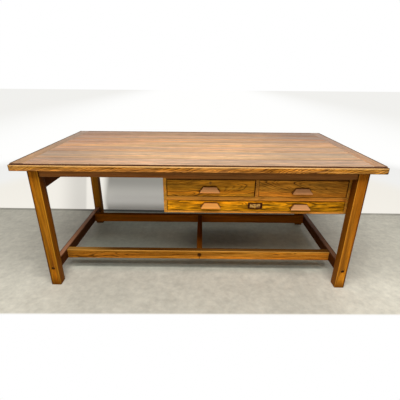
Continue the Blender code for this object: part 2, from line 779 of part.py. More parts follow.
def make_lock(front, drawer):
    """A cam lock: a fixed barrel through the front, and a plug with a cam that turns up."""
    centre = Vector((LEFT_BAY_MIDDLE - LOCK_SHIFT, CASE_FRONT, UPPER_FRONT_TOP - LOCK_DROP))
    axis = (0, -1, 0)
    bore = LOCK_PLUG_RADIUS + CONTACT_GAP
    rim_back = CONTACT_GAP
    rim_front = rim_back + LOCK_RIM
    profile = [
        (bore, rim_front),
        (LOCK_RIM_RADIUS - LOCK_RIM / 2, rim_front),
        (LOCK_RIM_RADIUS, rim_front - LOCK_RIM / 2),
        (LOCK_RIM_RADIUS, rim_back),
        (LOCK_BARREL_RADIUS, rim_back),
        (LOCK_BARREL_RADIUS, -FRONT_THICKNESS),
        (bore, -FRONT_THICKNESS),
        (bore, rim_front),
    ]
    barrel = as_mesh(turned("lock_cylinder", profile, LOCK_STEPS, axis, centre), "lock_cylinder")
    finish(barrel, "lock_cylinder", DARK_BRASS, 0.35, 0.9)
    adopt(smooth_round(barrel), parts, drawer)
    hole_profile = [
        (0, CUT_OVERRUN),
        (LOCK_BARREL_RADIUS + CONTACT_GAP, CUT_OVERRUN),
        (LOCK_BARREL_RADIUS + CONTACT_GAP, -FRONT_THICKNESS - CUT_OVERRUN),
        (0, -FRONT_THICKNESS - CUT_OVERRUN),
    ]
    hole = turned("lock_hole", hole_profile, LOCK_STEPS, axis, centre)
    as_cutter(hole, "lock_hole", drawer)
    boolean(front, hole)

    pivot = carrier_at("lock_plug_origin", centre)
    cam_front = -FRONT_THICKNESS - 2 * CONTACT_GAP
    plug_profile = [
        (0, rim_front),
        (LOCK_PLUG_RADIUS, rim_front),
        (LOCK_PLUG_RADIUS, cam_front - LOCK_CAM_THICKNESS),
        (0, cam_front - LOCK_CAM_THICKNESS),
    ]
    plug = as_mesh(turned("lock_plug", plug_profile, LOCK_STEPS, axis, centre), "lock_plug")
    finish(plug, "lock_plug", DARK_BRASS, 0.35, 0.9)
    adopt(smooth_round(plug), parts, pivot)
    cam_low = (
        centre.x - LOCK_PLUG_RADIUS,
        centre.y - cam_front,
        centre.z - LOCK_CAM_WIDTH / 2,
    )
    cam_high = (
        centre.x + LOCK_CAM_LENGTH,
        centre.y - cam_front + LOCK_CAM_THICKNESS + CONTACT_GAP,
        centre.z + LOCK_CAM_WIDTH / 2,
    )
    join_block(plug, "lock_cam", cam_low, cam_high, pivot)
    cut_block(
        plug,
        "keyway",
        (
            centre.x - LOCK_KEYWAY_WIDTH / 2,
            centre.y - rim_front - CUT_OVERRUN,
            centre.z - LOCK_KEYWAY_HEIGHT / 2,
        ),
        (
            centre.x + LOCK_KEYWAY_WIDTH / 2,
            centre.y - rim_front + LOCK_KEYWAY_DEPTH,
            centre.z + LOCK_KEYWAY_HEIGHT / 2,
        ),
        pivot,
    )
    adopt(pivot, parts, drawer)


def make_drawers():
    left, left_front = make_drawer(
        "left_drawer",
        BAY_LEFT,
        DIVIDER_LEFT,
        UPPER_FRONT_TOP,
        UPPER_FRONT_BOTTOM,
        MID_RAIL_TOP,
        UPPER_SIDE_TOP,
        LEFT_BAY_MIDDLE,
    )
    right, _ = make_drawer(
        "right_drawer",
        DIVIDER_RIGHT,
        BAY_RIGHT,
        UPPER_FRONT_TOP,
        UPPER_FRONT_BOTTOM,
        MID_RAIL_TOP,
        UPPER_SIDE_TOP,
        RIGHT_BAY_MIDDLE,
    )
    lower, lower_front = make_drawer(
        "lower_drawer",
        BAY_LEFT,
        BAY_RIGHT,
        LOWER_FRONT_TOP,
        LOWER_FRONT_BOTTOM,
        CASE_FLOOR,
        LOWER_SIDE_TOP,
        LEFT_BAY_MIDDLE,
    )
    upper_top = UPPER_FRONT_TOP - UPPER_PULL_DROP
    lower_top = LOWER_FRONT_TOP - LOWER_PULL_DROP
    left_middle = LEFT_BAY_MIDDLE - PULL_SHIFT
    right_middle = RIGHT_BAY_MIDDLE - PULL_SHIFT
    make_pull("left_drawer_pull", left_middle, upper_top, left)
    make_pull("right_drawer_pull", right_middle, upper_top - RIGHT_PULL_SAG, right)
    make_pull("lower_drawer_pull_left", LEFT_BAY_MIDDLE, lower_top, lower)
    make_pull("lower_drawer_pull_right", right_middle, lower_top - RIGHT_PULL_SAG, lower)
    make_card_holder(lower_front, lower)
    make_lock(left_front, left)


make_top()
table_legs = make_legs()
make_aprons(table_legs)
make_stretchers(table_legs)
make_case()
make_drawers()
bpy.context.view_layer.update()
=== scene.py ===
"""The oak drafting table, finished: varnished boards, wooden pulls, dark brass and a studio floor."""

from math import pi, radians

import bpy
from mathutils import Matrix, Vector


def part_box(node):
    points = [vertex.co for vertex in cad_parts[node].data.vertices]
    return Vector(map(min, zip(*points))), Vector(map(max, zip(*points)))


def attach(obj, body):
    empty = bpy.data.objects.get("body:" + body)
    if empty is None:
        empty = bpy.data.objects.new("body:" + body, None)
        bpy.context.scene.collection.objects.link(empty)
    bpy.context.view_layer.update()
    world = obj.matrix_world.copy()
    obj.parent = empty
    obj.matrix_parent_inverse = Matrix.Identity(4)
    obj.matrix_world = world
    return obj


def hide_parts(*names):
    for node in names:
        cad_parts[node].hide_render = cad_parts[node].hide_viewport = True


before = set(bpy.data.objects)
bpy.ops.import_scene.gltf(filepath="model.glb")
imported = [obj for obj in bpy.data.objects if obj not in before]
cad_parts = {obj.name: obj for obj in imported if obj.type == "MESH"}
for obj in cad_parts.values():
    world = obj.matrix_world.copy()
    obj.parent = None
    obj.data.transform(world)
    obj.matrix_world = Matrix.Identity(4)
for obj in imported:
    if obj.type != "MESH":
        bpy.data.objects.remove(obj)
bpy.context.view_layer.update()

# Fine sizes that the solids leave to this script, in metres

TOP_ARRIS = 0.0012
STRIP_ARRIS = 0.0018
LEG_ARRIS = 0.0032
RAIL_ARRIS = 0.0022
HALF_JOINT = 0.0004
SHOULDER_GAP = 0.0003
STRIP_END_SLANT = 0.006
BACK_RIM_WIDTH = 0.030
END_RIM_WIDTH = 0.011
DENT_PLACES = ((0.082, 0.013), (0.532, 0.010), (-0.61, 0.006))
DENT_INWARD, DENT_DOWN = 0.0035, 0.0030
# The dents' tools stand this far off the faces, since a cut that starts in a face can stay open
CLEAR_OF_FACE = 0.00005

RECESS_RADIUS = 0.0112
RECESS_LENGTH = 0.018
BOLT_SUNK = 0.006
BOLT_THICKNESS = 0.0055
BOLT_ARRIS = 0.0004
BOLT_DOME_INSET = 0.0022
BOLT_DOME_RISE = 0.0005
BOLT_SLOT_REACH = 0.8
BOLT_SLOT_HALF = 0.0011
BOLT_SLOT_DEPTH = 0.0018
CUT_CLEARANCE = 0.002

PULL_ARRIS = 0.0016
PULL_LIP = 0.008
PULL_LIP_FACE = 0.009
PULL_TOP_SHARE = 0.081 / 0.123
PULL_BACKWARD = 0.015
HOLLOW_RADIUS = 0.014
HOLLOW_LENGTH = 0.092
HOLLOW_RISE = 0.0065
HOLLOW_ROUND = 0.004

HOLDER_ARRIS = 0.0003
HOLDER_RIM = 0.0022
HOLDER_STEP = 0.0009
WINDOW_HALF_WIDTH, WINDOW_HALF_HEIGHT = 0.033, 0.0125
WINDOW_ROUND = 0.002
NOTCH_RADIUS, NOTCH_LENGTH = 0.0055, 0.01
CARD_HALF_WIDTH, CARD_HALF_HEIGHT = 0.0325, 0.0120
CARD_BACK, CARD_FACE = 0.0004, 0.0009
CARD_ARRIS = 0.0001
SCREW_RADIUS = 0.0034
SCREW_RISE = 0.0012
SCREW_SLOT_REACH, SCREW_SLOT_HALF = 0.004, 0.0004
SCREW_SLOT_TOP, SCREW_SLOT_FLOOR = 0.002, 0.0005

FLAT = 0.999
NEAR = 0.0001
SMOOTH_ANGLE = radians(40)
UP = (0, 0, 1)


# Setting out

def low_of(node):
    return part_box(node)[0]


def high_of(node):
    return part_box(node)[1]


def middle_of(node):
    low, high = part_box(node)
    return (low + high) / 2


# Values that pass from one shader node to the next

class Wire:
    """A value in a material. Sums of wires are written as plain sums."""

    def __init__(self, tree, socket):
        self.tree = tree
        self.socket = socket

    def __add__(self, other):
        return calc("ADD", self, other)

    def __sub__(self, other):
        return calc("SUBTRACT", self, other)

    def __rsub__(self, other):
        return calc("SUBTRACT", other, self)

    def __mul__(self, other):
        return calc("MULTIPLY", self, other)

    def __truediv__(self, other):
        return calc("DIVIDE", self, other)

    def __neg__(self):
        return self * -1.0

    def __abs__(self):
        return calc("ABSOLUTE", self)

    def part(self, axis):
        """A place along one axis."""
        return wire(self.tree, "SeparateXYZ", {0: self}, axis)


def set_inputs(node, values):
    """Sets each input of a shader node, or links it to the wire it is given."""
    for key, value in values.items():
        if isinstance(value, Wire):
            value.tree.links.new(value.socket, node.inputs[key])
        else:
            node.inputs[key].default_value = value


def add_node(tree, kind, values=(), **settings):
    made = tree.nodes.new("ShaderNode" + kind)
    for key, value in settings.items():
        setattr(made, key, value)
    set_inputs(made, dict(values))
    return made


def wire(tree, kind, values=(), output=0, **settings):
    """Adds a shader node and gives one of its outputs."""
    return Wire(tree, add_node(tree, kind, values, **settings).outputs[output])


def tree_of(values):
    return next(value.tree for value in values if isinstance(value, Wire))


def calc(operation, *values, clamp=False):
    return wire(tree_of(values), "Math", enumerate(values), operation=operation, use_clamp=clamp)


def strongest_of(*values):
    value = values[0]
    for other in values[1:]:
        value = calc("MAXIMUM", value, other)
    return value


def vector_calc(operation, *values):
    output = "Value" if operation in ("LENGTH", "DOT_PRODUCT") else "Vector"
    return wire(tree_of(values), "VectorMath", enumerate(values), output, operation=operation)


def scaled(vector, factor):
    return wire(vector.tree, "VectorMath", {0: vector, "Scale": factor}, operation="SCALE")


def mix(share, first, second, mode="MIX"):
    """Mixes two colours."""
    values = {0: share, 6: first, 7: second}
    return wire(tree_of(values.values()), "Mix", values, 2, data_type="RGBA", blend_type=mode)


def times(first, second):
    """Multiplies two colours."""
    return mix(1.0, first, second, "MULTIPLY")


def grey(value):
    return wire(value.tree, "CombineXYZ", {0: value, 1: value, 2: value})


def slope(value, start, end, low=0.0, high=1.0):
    """Goes evenly from low at the start to high at the end."""
    return wire(value.tree, "MapRange", {"Value": value, 1: start, 2: end, 3: low, 4: high})


def spread(value, start, end, strength=1.0, low=0.0):
    """Goes softly from low at the start to the strength at the end."""
    values = {"Value": value, 1: start, 2: end, 3: low, 4: strength}
    return wire(value.tree, "MapRange", values, interpolation_type="SMOOTHSTEP")


def band(value, start, full, still_full, end):
    """Rises softly from the start, and fades to nothing at the end."""
    return spread(value, start, full) * spread(value, end, still_full)


def ramp(value, *stops):
    """A curve through pairs of place and grey."""
    made = add_node(value.tree, "ValToRGB", {"Fac": value})
    points = made.color_ramp.elements
    while len(points) < len(stops):
        points.new(0.5)
    for point, (place, shade) in zip(points, stops):
        point.position = place
        point.color = (shade, shade, shade, 1)
    return Wire(value.tree, made.outputs["Color"])


def noise(place, scale, detail, roughness=0.5):
    values = {"Vector": place, "Scale": scale, "Detail": detail, "Roughness": roughness}
    return wire(place.tree, "TexNoise", values, "Fac")


def speckle(place, scale, detail=2.0, output="Fac"):
    """Noise stretched by a scale of its own along each axis."""
    stretched = vector_calc("MULTIPLY", place, scale)
    return wire(place.tree, "TexNoise", {"Vector": stretched, "Scale": 1.0, "Detail": detail}, output)


def relief(height, strength, depth):
    values = {"Height": height, "Strength": strength, "Distance": depth}
    return wire(height.tree, "Bump", values, "Normal")


def new_material(name):
    material = bpy.data.materials.new(name)
    material.use_nodes = True
    return material, material.node_tree, material.node_tree.nodes["Principled BSDF"]


# Wood grain

def make_oak_grain():
    """The figure of a board sawn from a log: rings round the heart, pores, fibres and clouds."""
    tree = bpy.data.node_groups.new("oak_grain", "ShaderNodeTree")
    for way, kind, names in (
        ("INPUT", "Vector", ("Place", "Heart", "Lean")),
        ("INPUT", "Color", ("Line", "Body", "Light")),
        ("INPUT", "Float", ("Ring Width", "Wander", "Seed", "Figure", "Calm", "Fleck")),
        ("INPUT", "Float", ("GrimeAndShade", "RubAndHighlight", "Tone")),
        ("OUTPUT", "Color", ("Color",)),
        ("OUTPUT", "Float", ("Roughness", "Height")),
    ):
        for name in names:
            tree.interface.new_socket(name, in_out=way, socket_type="NodeSocket" + kind)
    given = {socket.name: Wire(tree, socket) for socket in tree.nodes.new("NodeGroupInput").outputs}
    board, seed, calm = given["Place"], given["Seed"], given["Calm"]
    place = vector_calc("ADD", board, vector_calc("MULTIPLY", grey(seed), (3.7, 1.9, 2.3)))

    # The heart of the log wanders along the board, and the rings ripple round it
    even = (0.5, 0.5, 0.5)
    drift = vector_calc("SUBTRACT", speckle(place, (2.2, 9, 9), 2, "Color"), even)
    ripple = vector_calc("SUBTRACT", speckle(place, (14, 60, 60), 2, "Color"), even)
    across = vector_calc("SUBTRACT", board, given["Heart"])
    across = vector_calc("SUBTRACT", across, scaled(given["Lean"], board.part("X")))
    across = vector_calc("ADD", across, scaled(drift, given["Wander"]))
    across = vector_calc("ADD", across, scaled(ripple, given["Ring Width"]))
    rings = vector_calc("LENGTH", vector_calc("MULTIPLY", across, (0, 1, 1))) / given["Ring Width"]
    years = {"W": rings + seed, "Scale": 0.4, "Detail": 1.0}
    rings = wire(tree, "TexNoise", years, "Fac", noise_dimensions="1D") * 2.4 + rings
    number = {"W": calc("FLOOR", rings) + seed}
    strength = wire(tree, "TexWhiteNoise", number, "Value", noise_dimensions="1D") * 0.6 + 0.4
    dark = ramp(
        calc("FRACT", rings), (0.0, 0.4), (0.07, 1.0), (0.24, 0.8), (0.45, 0.15), (0.8, 0.0), (1.0, 0.1)
    )
    dark = calc("MULTIPLY", dark, strength * given["Figure"], clamp=True)

    # Open pores lie mostly in the dark early wood
    pores = slope(speckle(place, (34, 1150, 1150), 1), 0.55, 0.66) * (dark * 0.75 + 0.25)
    fibre = speckle(place, (5, 300, 300), 3)
    cloud = speckle(place, (1.3, 5, 5), 2)
    streak = speckle(place, (2.2, 46, 46), 2)
    bands = speckle(place, (0.9, 21, 21), 2)

    colour = mix(dark, given["Body"], given["Line"])
    colour = mix(slope(fibre, 0.42, 0.72, 0.0, 0.55), colour, given["Light"])
    colour = mix(slope(bands, 0.46, 0.66, 0.0, 0.7), colour, times(colour, (1.12, 0.84, 0.62, 1)))
    tone = (cloud * 0.6 + 0.7) * (streak * 0.9 + 0.55) * (bands * 0.6 + 0.7)
    tone = tone * (1.0 - calm) + calm
    fleck = (speckle(place, (13, 82, 82), 3) - 0.5) * given["Fleck"] + 1.0
    tone = tone * strongest_of(fleck, 0.35) * given["Tone"]
    colour = times(colour, grey(tone))
    deep = times(given["Line"], (0.45, 0.42, 0.4, 1))
    colour = mix(pores * 0.7, colour, deep)

    # Rubbed arrises are lighter, as wear and a painted highlight, and the rub input paints a highlight in
    # the same lighter colour; sheltered arrises and undersides are darkened as painted shade, and the
    # grime input darkens joints and dirt and also paints shade
    arris = wire(tree, "Attribute", output="Fac", attribute_name="arris")
    patch = slope(cloud, 0.3, 0.6)
    rubbed = calc("MULTIPLY", arris, patch, clamp=True) * 0.6
    rubbed = strongest_of(rubbed, given["RubAndHighlight"] * (patch * 0.4 + 0.6))
    colour = mix(rubbed, colour, times(given["Light"], (1.2, 1.25, 1.4, 1)))
    arris_shade = calc("MULTIPLY", arris, -0.75, clamp=True)
    grime_and_shade = strongest_of(calc("MULTIPLY", given["GrimeAndShade"], streak * 0.5 + 0.7, clamp=True), arris_shade)
    colour = mix(grime_and_shade, colour, times(deep, (0.75, 0.45, 0.3, 1)))

    rough = pores * 0.22 + (cloud * 0.16 + 0.33) + grime_and_shade * 0.2
    height = dark * -0.35 + fibre * 0.35 + pores * -0.8
    result = tree.nodes.new("NodeGroupOutput")
    set_inputs(result, {"Color": colour, "Roughness": rough, "Height": height})
    return tree


OAK_GRAIN = make_oak_grain()
GRAIN_TURN = {"x": (0, 0, 0), "y": (0, 0, radians(90)), "z": (0, radians(-90), 0)}
GRAIN_RELIEF = 0.0006
WHITE = (1, 1, 1, 1)
WARM_END_TINT = (1.03, 0.84, 0.68, 1)

# Stains: the dark line of the grain, the body of the wood and its light fibres
TOP_STAIN = ((0.23, 0.100, 0.040), (0.525, 0.268, 0.123), (0.735, 0.435, 0.226))
STRIP_STAIN = ((0.09, 0.026, 0.001), (0.37, 0.158, 0.016), (0.72, 0.40, 0.13))
LEG_STAIN = ((0.15, 0.045, 0.002), (0.36, 0.128, 0.004), (0.56, 0.24, 0.018))
RIGHT_LEG_STAIN = ((0.18, 0.050, 0.002), (0.42, 0.145, 0.006), (0.60, 0.26, 0.025))
APRON_STAIN = ((0.09, 0.032, 0.008), (0.27, 0.104, 0.024), (0.37, 0.17, 0.05))
HEADER_STAIN = ((0.09, 0.028, 0.005), (0.25, 0.088, 0.014), (0.35, 0.14, 0.03))
FRONT_STAIN = ((0.085, 0.024, 0.002), (0.50, 0.205, 0.010), (0.66, 0.33, 0.035))
RIGHT_FRONT_STAIN = ((0.10, 0.028, 0.003), (0.57, 0.225, 0.020), (0.68, 0.34, 0.05))
LOWER_STAIN = ((0.12, 0.038, 0.001), (0.72, 0.275, 0.003), (0.86, 0.44, 0.02))
RAIL_STAIN = ((0.16, 0.050, 0.003), (0.49, 0.200, 0.024), (0.68, 0.33, 0.07))
PULL_STAIN = ((0.30, 0.10, 0.020), (0.50, 0.190, 0.045), (0.62, 0.30, 0.11))
RIGHT_PULL_STAIN = ((0.24, 0.085, 0.022), (0.38, 0.155, 0.045), (0.50, 0.24, 0.10))
LOWER_PULL_STAIN = ((0.30, 0.105, 0.025), (0.47, 0.190, 0.055), (0.62, 0.31, 0.13))
WARM_PULL_STAIN = ((0.34, 0.095, 0.010), (0.50, 0.170, 0.022), (0.64, 0.28, 0.06))
STRETCHER_STAIN = ((0.10, 0.030, 0.001), (0.45, 0.165, 0.012), (0.68, 0.33, 0.06))
DUST_AND_SHEEN_STAIN = ((0.05, 0.014, 0.002), (0.20, 0.055, 0.004), (0.15, 0.070, 0.034))
PALE_DUST_AND_SHEEN_STAIN = ((0.05, 0.014, 0.002), (0.20, 0.055, 0.004), (0.45, 0.205, 0.098))
SHADED_STAIN = ((0.08, 0.020, 0.002), (0.26, 0.070, 0.004), (0.36, 0.12, 0.012))
BACK_RAIL_STAIN = ((0.10, 0.026, 0.001), (0.34, 0.095, 0.003), (0.44, 0.16, 0.010))
CASE_STAIN = ((0.26, 0.090, 0.008), (0.60, 0.265, 0.030), (0.75, 0.42, 0.09))
BOX_STAIN = ((0.34, 0.20, 0.10), (0.52, 0.35, 0.19), (0.66, 0.50, 0.32))


def tinted(stain, tint):
    return [[part * shade for part, shade in zip(colour, tint)] for colour in stain]


def laid(mask, place):
    """The value of a mask on a piece. A plain number is the same all over."""
    return mask(place) if callable(mask) else mask


def oak(
    name,
    centre,
    grain,
    stain,
    heart=(0.0, -0.05),
    lean=(0.0, 0.03),
    seed=1.0,
    ring=0.006,
    wander=0.02,
    figure=0.9,
    specular=0.03,
    bump=0.35,
    calm=0.0,
    fleck=0.0,
    grime_and_shade=0.0,
    rub=0.0,
    tone=1.0,
    warmth=None,
):
    """Varnished oak for one piece, with X along its grain. The heart of the log lies off its middle."""
    material, tree, shader = new_material(name)
    seen = wire(tree, "TexCoord", output="Object")
    setting = {"Vector": seen, "Location": centre, "Rotation": GRAIN_TURN[grain]}
    place = wire(tree, "Mapping", setting, vector_type="TEXTURE")
    line, body, light = ((*colour, 1) for colour in stain)
    values = {
        "Place": place,
        "Heart": (0, *heart),
        "Lean": (0, *lean),
        "Line": line,
        "Body": body,
        "Light": light,
        "Ring Width": ring,
        "Wander": wander,
        "Seed": seed,
        "Figure": figure,
        "Calm": calm,
        "Fleck": fleck,
        "GrimeAndShade": laid(grime_and_shade, place),
        "RubAndHighlight": laid(rub, place),
        "Tone": laid(tone, place),
    }
    wood = add_node(tree, "Group", values, node_tree=OAK_GRAIN)
    colour, rough, height = (Wire(tree, wood.outputs[name]) for name in ("Color", "Roughness", "Height"))
    if warmth is not None:
        colour = times(colour, mix(warmth(place), WHITE, WARM_END_TINT))
    finish = {"Base Color": colour, "Roughness": rough, "Normal": relief(height, bump, GRAIN_RELIEF)}
    set_inputs(shader, {**finish, "Specular IOR Level": specular})
    return material


# Masks: where grime gathers and painted shade falls, where hands rub and painted highlights lie, and
# where tones and painted light change, read at a place with X along the grain

def near_ends(half, depth, strength=1.0):
    return lambda place: spread(abs(place.part("X")), half - depth, half, strength)


def near_sides(half, depth, strength=0.9, axis="Y", sides="both"):
    def mask(place):
        across = place.part(axis)
        if sides != "high":
            across = abs(across) if sides == "both" else -across
        return spread(across, half - depth, half, strength)

    return mask


def below(top, foot, strength):
    return lambda place: spread(place.part("Z"), top, foot, strength)


def facing(way, strength=1.0):
    """The faces that look one way."""

    def mask(place):
        normal = wire(place.tree, "NewGeometry", output="Normal")
        return spread(vector_calc("DOT_PRODUCT", normal, way), 0.5, 0.9, strength)

    return mask


def any_of(*masks):
    return lambda place: strongest_of(*(mask(place) for mask in masks))


def only_where(mask, other):
    return lambda place: mask(place) * laid(other, place)


def painted_end_light(left_tone, right_tone):
    """Painted light along a long board: plain in the middle, with a tone for each end that lightens it
    above one and darkens it below one.
    """

    def mask(place):
        along = place.part("X")
        left = spread(along, -0.25, -1.05, left_tone, 1.0)
        return left * spread(along, 0.25, 1.05, right_tone, 1.0)

    return mask


def warmer_ends(left, right):
    """How much warmer the colour grows towards the two ends of a board."""

    def mask(place):
        along = place.part("X")
        return strongest_of(spread(along, -0.25, -1.0, left), spread(along, 0.25, 1.0, right))

    return mask


def lengthwise(start, end, first, last):
    return lambda place: spread(place.part("X"), start, end, last, first)


def foot_grime(half):
    """Dark feet, where mops and shoes reach."""
    return lambda place: slope(place.part("X"), -half + 0.07, -half, 0.0, 0.75)


def inner_shade(way, low_down):
    """The inner side of a leg is darkened as painted shade, most of all up under the top."""

    def mask(place):
        return facing((way, 0, 0))(place) * spread(place.part("X"), 0.10, 0.34, 0.78, low_down)

    return mask


def bolt_stain(spot):
    """The dark ring that iron leaves in oak round a bolt, and the short split under it."""

    def mask(place):
        across = place.part("X") - spot.x
        up = place.part("Z") - spot.z
        ring = spread(calc("SQRT", across * across + up * up), 0.0200, 0.0125, 0.85)
        split = spread(abs(across), 0.0034, 0.0018, 0.9) * spread(up, 0.0, -0.004)
        return strongest_of(ring, split)

    return mask


def pull_shade_and_dirt(node, centre):
    """Darkening on the drawer front round a pull, most of it on the left: dirt, and the pull's painted
    shade.
    """
    low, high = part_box(node)
    middle = (low + high) / 2 - centre
    half_width, height = (high.x - low.x) / 2, high.z - low.z
    over_lip = height - PULL_LIP
    slant = (1 - PULL_TOP_SHARE) * half_width / over_lip

    def mask(place):
        across = place.part("X") - middle.x
        up = place.part("Z") - (middle.z - height / 2 + PULL_LIP)
        edge = calc("MINIMUM", up * -slant + half_width, half_width)
        left = spread(-across - edge, 0.0075, 0.0030, 0.95)
        right = spread(across - edge, 0.0055, 0.0010, 0.8)
        over = spread(up, over_lip + 0.0065, over_lip + 0.003, 0.9)
        return calc("MINIMUM", left, right) * over * spread(up, -0.012, -0.004)

    return mask


# Metal

def metal(name, dark, bright, scale=180.0):
    """Old metal, with tarnish in patches and rubbed spots."""
    material, tree, shader = new_material(name)
    place = wire(tree, "TexCoord", output="Object")
    patch = noise(place, scale, 4.0)
    grit = noise(place, scale * 9, 2.0)
    worn = mix(slope(patch, 0.45, 0.7), (*dark, 1), (*bright, 1))
    finish = {"Base Color": worn, "Roughness": patch * 0.3 + 0.35, "Normal": relief(grit, 0.25, 0.0002)}
    set_inputs(shader, {**finish, "Metallic": 1.0})
    return material


# Joinery

def hold(piece):
    """Takes up one piece and puts all others down."""
    bpy.ops.object.select_all(action="DESELECT")
    piece.select_set(True)
    bpy.context.view_layer.objects.active = piece


def blank(name, add, **settings):
    """Adds a primitive, names it, and puts its place, turn and size into its mesh."""
    bpy.ops.object.select_all(action="DESELECT")
    add(**settings)
    piece = bpy.context.object
    piece.name = name
    piece.data.name = name
    bpy.ops.object.transform_apply(location=True, rotation=True, scale=True)
    return piece


def sawn(name, low, high):
    """A squared blank between two corners."""
    low, high = Vector(low), Vector(high)
    add = bpy.ops.mesh.primitive_cube_add
    return blank(name, add, size=1, location=(low + high) / 2, scale=high - low)


def rod(name, radius, length, centre, axis="y", sides=32):
    turn = {"x": (0, pi / 2, 0), "y": (pi / 2, 0, 0)}[axis]
    shape = {"vertices": sides, "radius": radius, "depth": length}
    return blank(name, bpy.ops.mesh.primitive_cylinder_add, location=centre, rotation=turn, **shape)


def ball(name, centre, radius, segments, rings, scale=(1, 1, 1)):
    shape = {"segments": segments, "ring_count": rings, "radius": radius}
    return blank(name, bpy.ops.mesh.primitive_uv_sphere_add, location=centre, scale=scale, **shape)


def select(piece, kind, test=lambda part: True):
    """Goes to edit mode with the piece's vertices, edges or faces selected that pass the test."""
    hold(piece)
    bpy.ops.object.mode_set(mode="EDIT")
    bpy.ops.mesh.select_mode(type=kind)
    bpy.ops.mesh.select_all(action="DESELECT")
    bpy.ops.object.mode_set(mode="OBJECT")
    mesh = piece.data
    if kind == "VERT":
        for vertex in mesh.vertices:
            vertex.select = test(vertex.co)
    elif kind == "EDGE":
        for edge in mesh.edges:
            edge.select = test(*(mesh.vertices[index].co for index in edge.vertices))
    else:
        for face in mesh.polygons:
            face.select = test(face)
    bpy.ops.object.mode_set(mode="EDIT")


def done():
    bpy.ops.object.mode_set(mode="OBJECT")


def finish_with(piece, kind, **settings):
    """Adds a modifier and applies it."""
    hold(piece)
    step = piece.modifiers.new(kind.lower(), kind)
    for key, value in settings.items():
        setattr(step, key, value)
    bpy.ops.object.modifier_apply(modifier=step.name)


def ease(piece, width, segments=3, angle=30, painted_shade_at=None):
    """Rounds the arrises and marks them, so that they show lighter, as wear and a painted highlight, or
    darker as painted shade where the given test picks them out.
    """
    settings = {"limit_method": "ANGLE", "angle_limit": radians(angle)}
    finish_with(piece, "BEVEL", width=width, segments=segments, **settings)
    mark = piece.data.attributes.new("arris", "FLOAT", "FACE")
    for face, value in zip(piece.data.polygons, mark.data):
        if max(abs(part) for part in face.normal) > FLAT:
            value.value = 0.0
        else:
            value.value = -1.0 if painted_shade_at is not None and painted_shade_at(face.normal) else 1.0
    bpy.ops.object.shade_smooth_by_angle(angle=SMOOTH_ANGLE)
    return piece


def cut(piece, tool):
    """Cuts a shape out of the piece and throws the shape away."""
    finish_with(piece, "BOOLEAN", object=tool, operation="DIFFERENCE", solver="EXACT")
    bpy.data.objects.remove(tool, do_unlink=True)


def fit(piece, body, material, slot, *nodes):
    """Gives a finished piece its material and its body, and hides the nodes it stands for."""
    piece.data.materials.clear()
    piece.data.materials.append(material)
    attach(piece, body)
    if nodes:
        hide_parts(*nodes)


def coat_node(node, material):
    """Gives a carried-over node its finish."""
    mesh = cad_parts[node].data
    mesh.materials.clear()
    mesh.materials.append(material)


# The top

# The boards from the front. Each has its far edge as a share of the depth, its tint, the tone
# and the added warmth of its left and right ends, and the heart and lean of its log. Besides the boards'
# own colour, the tints and end tones paint a pool of light on the front and middle of the top, with
# painted shade towards its back and ends
TOP_BOARDS = (
    (0.120, (1.08, 1.23, 1.40), (0.56, 0.75), (0.25, 0.00), -0.03, 0.012),
    (0.287, (1.14, 1.32, 1.35), (0.61, 0.79), (0.30, 0.00), 0.05, -0.010),
    (0.427, (1.15, 1.23, 1.17), (0.86, 0.93), (0.80, 0.10), -0.06, 0.008),
    (0.565, (1.10, 1.23, 1.11), (0.85, 0.91), (0.90, 0.15), 0.02, -0.014),
    (0.659, (0.98, 1.06, 0.97), (0.82, 0.79), (0.90, 0.20), 0.08, 0.010),
    (0.816, (0.94, 0.99, 0.92), (0.77, 0.65), (0.60, 0.50), -0.04, -0.006),
    (1.000, (0.81, 0.84, 0.79), (0.77, 0.63), (0.50, 0.60), 0.01, 0.012),
)


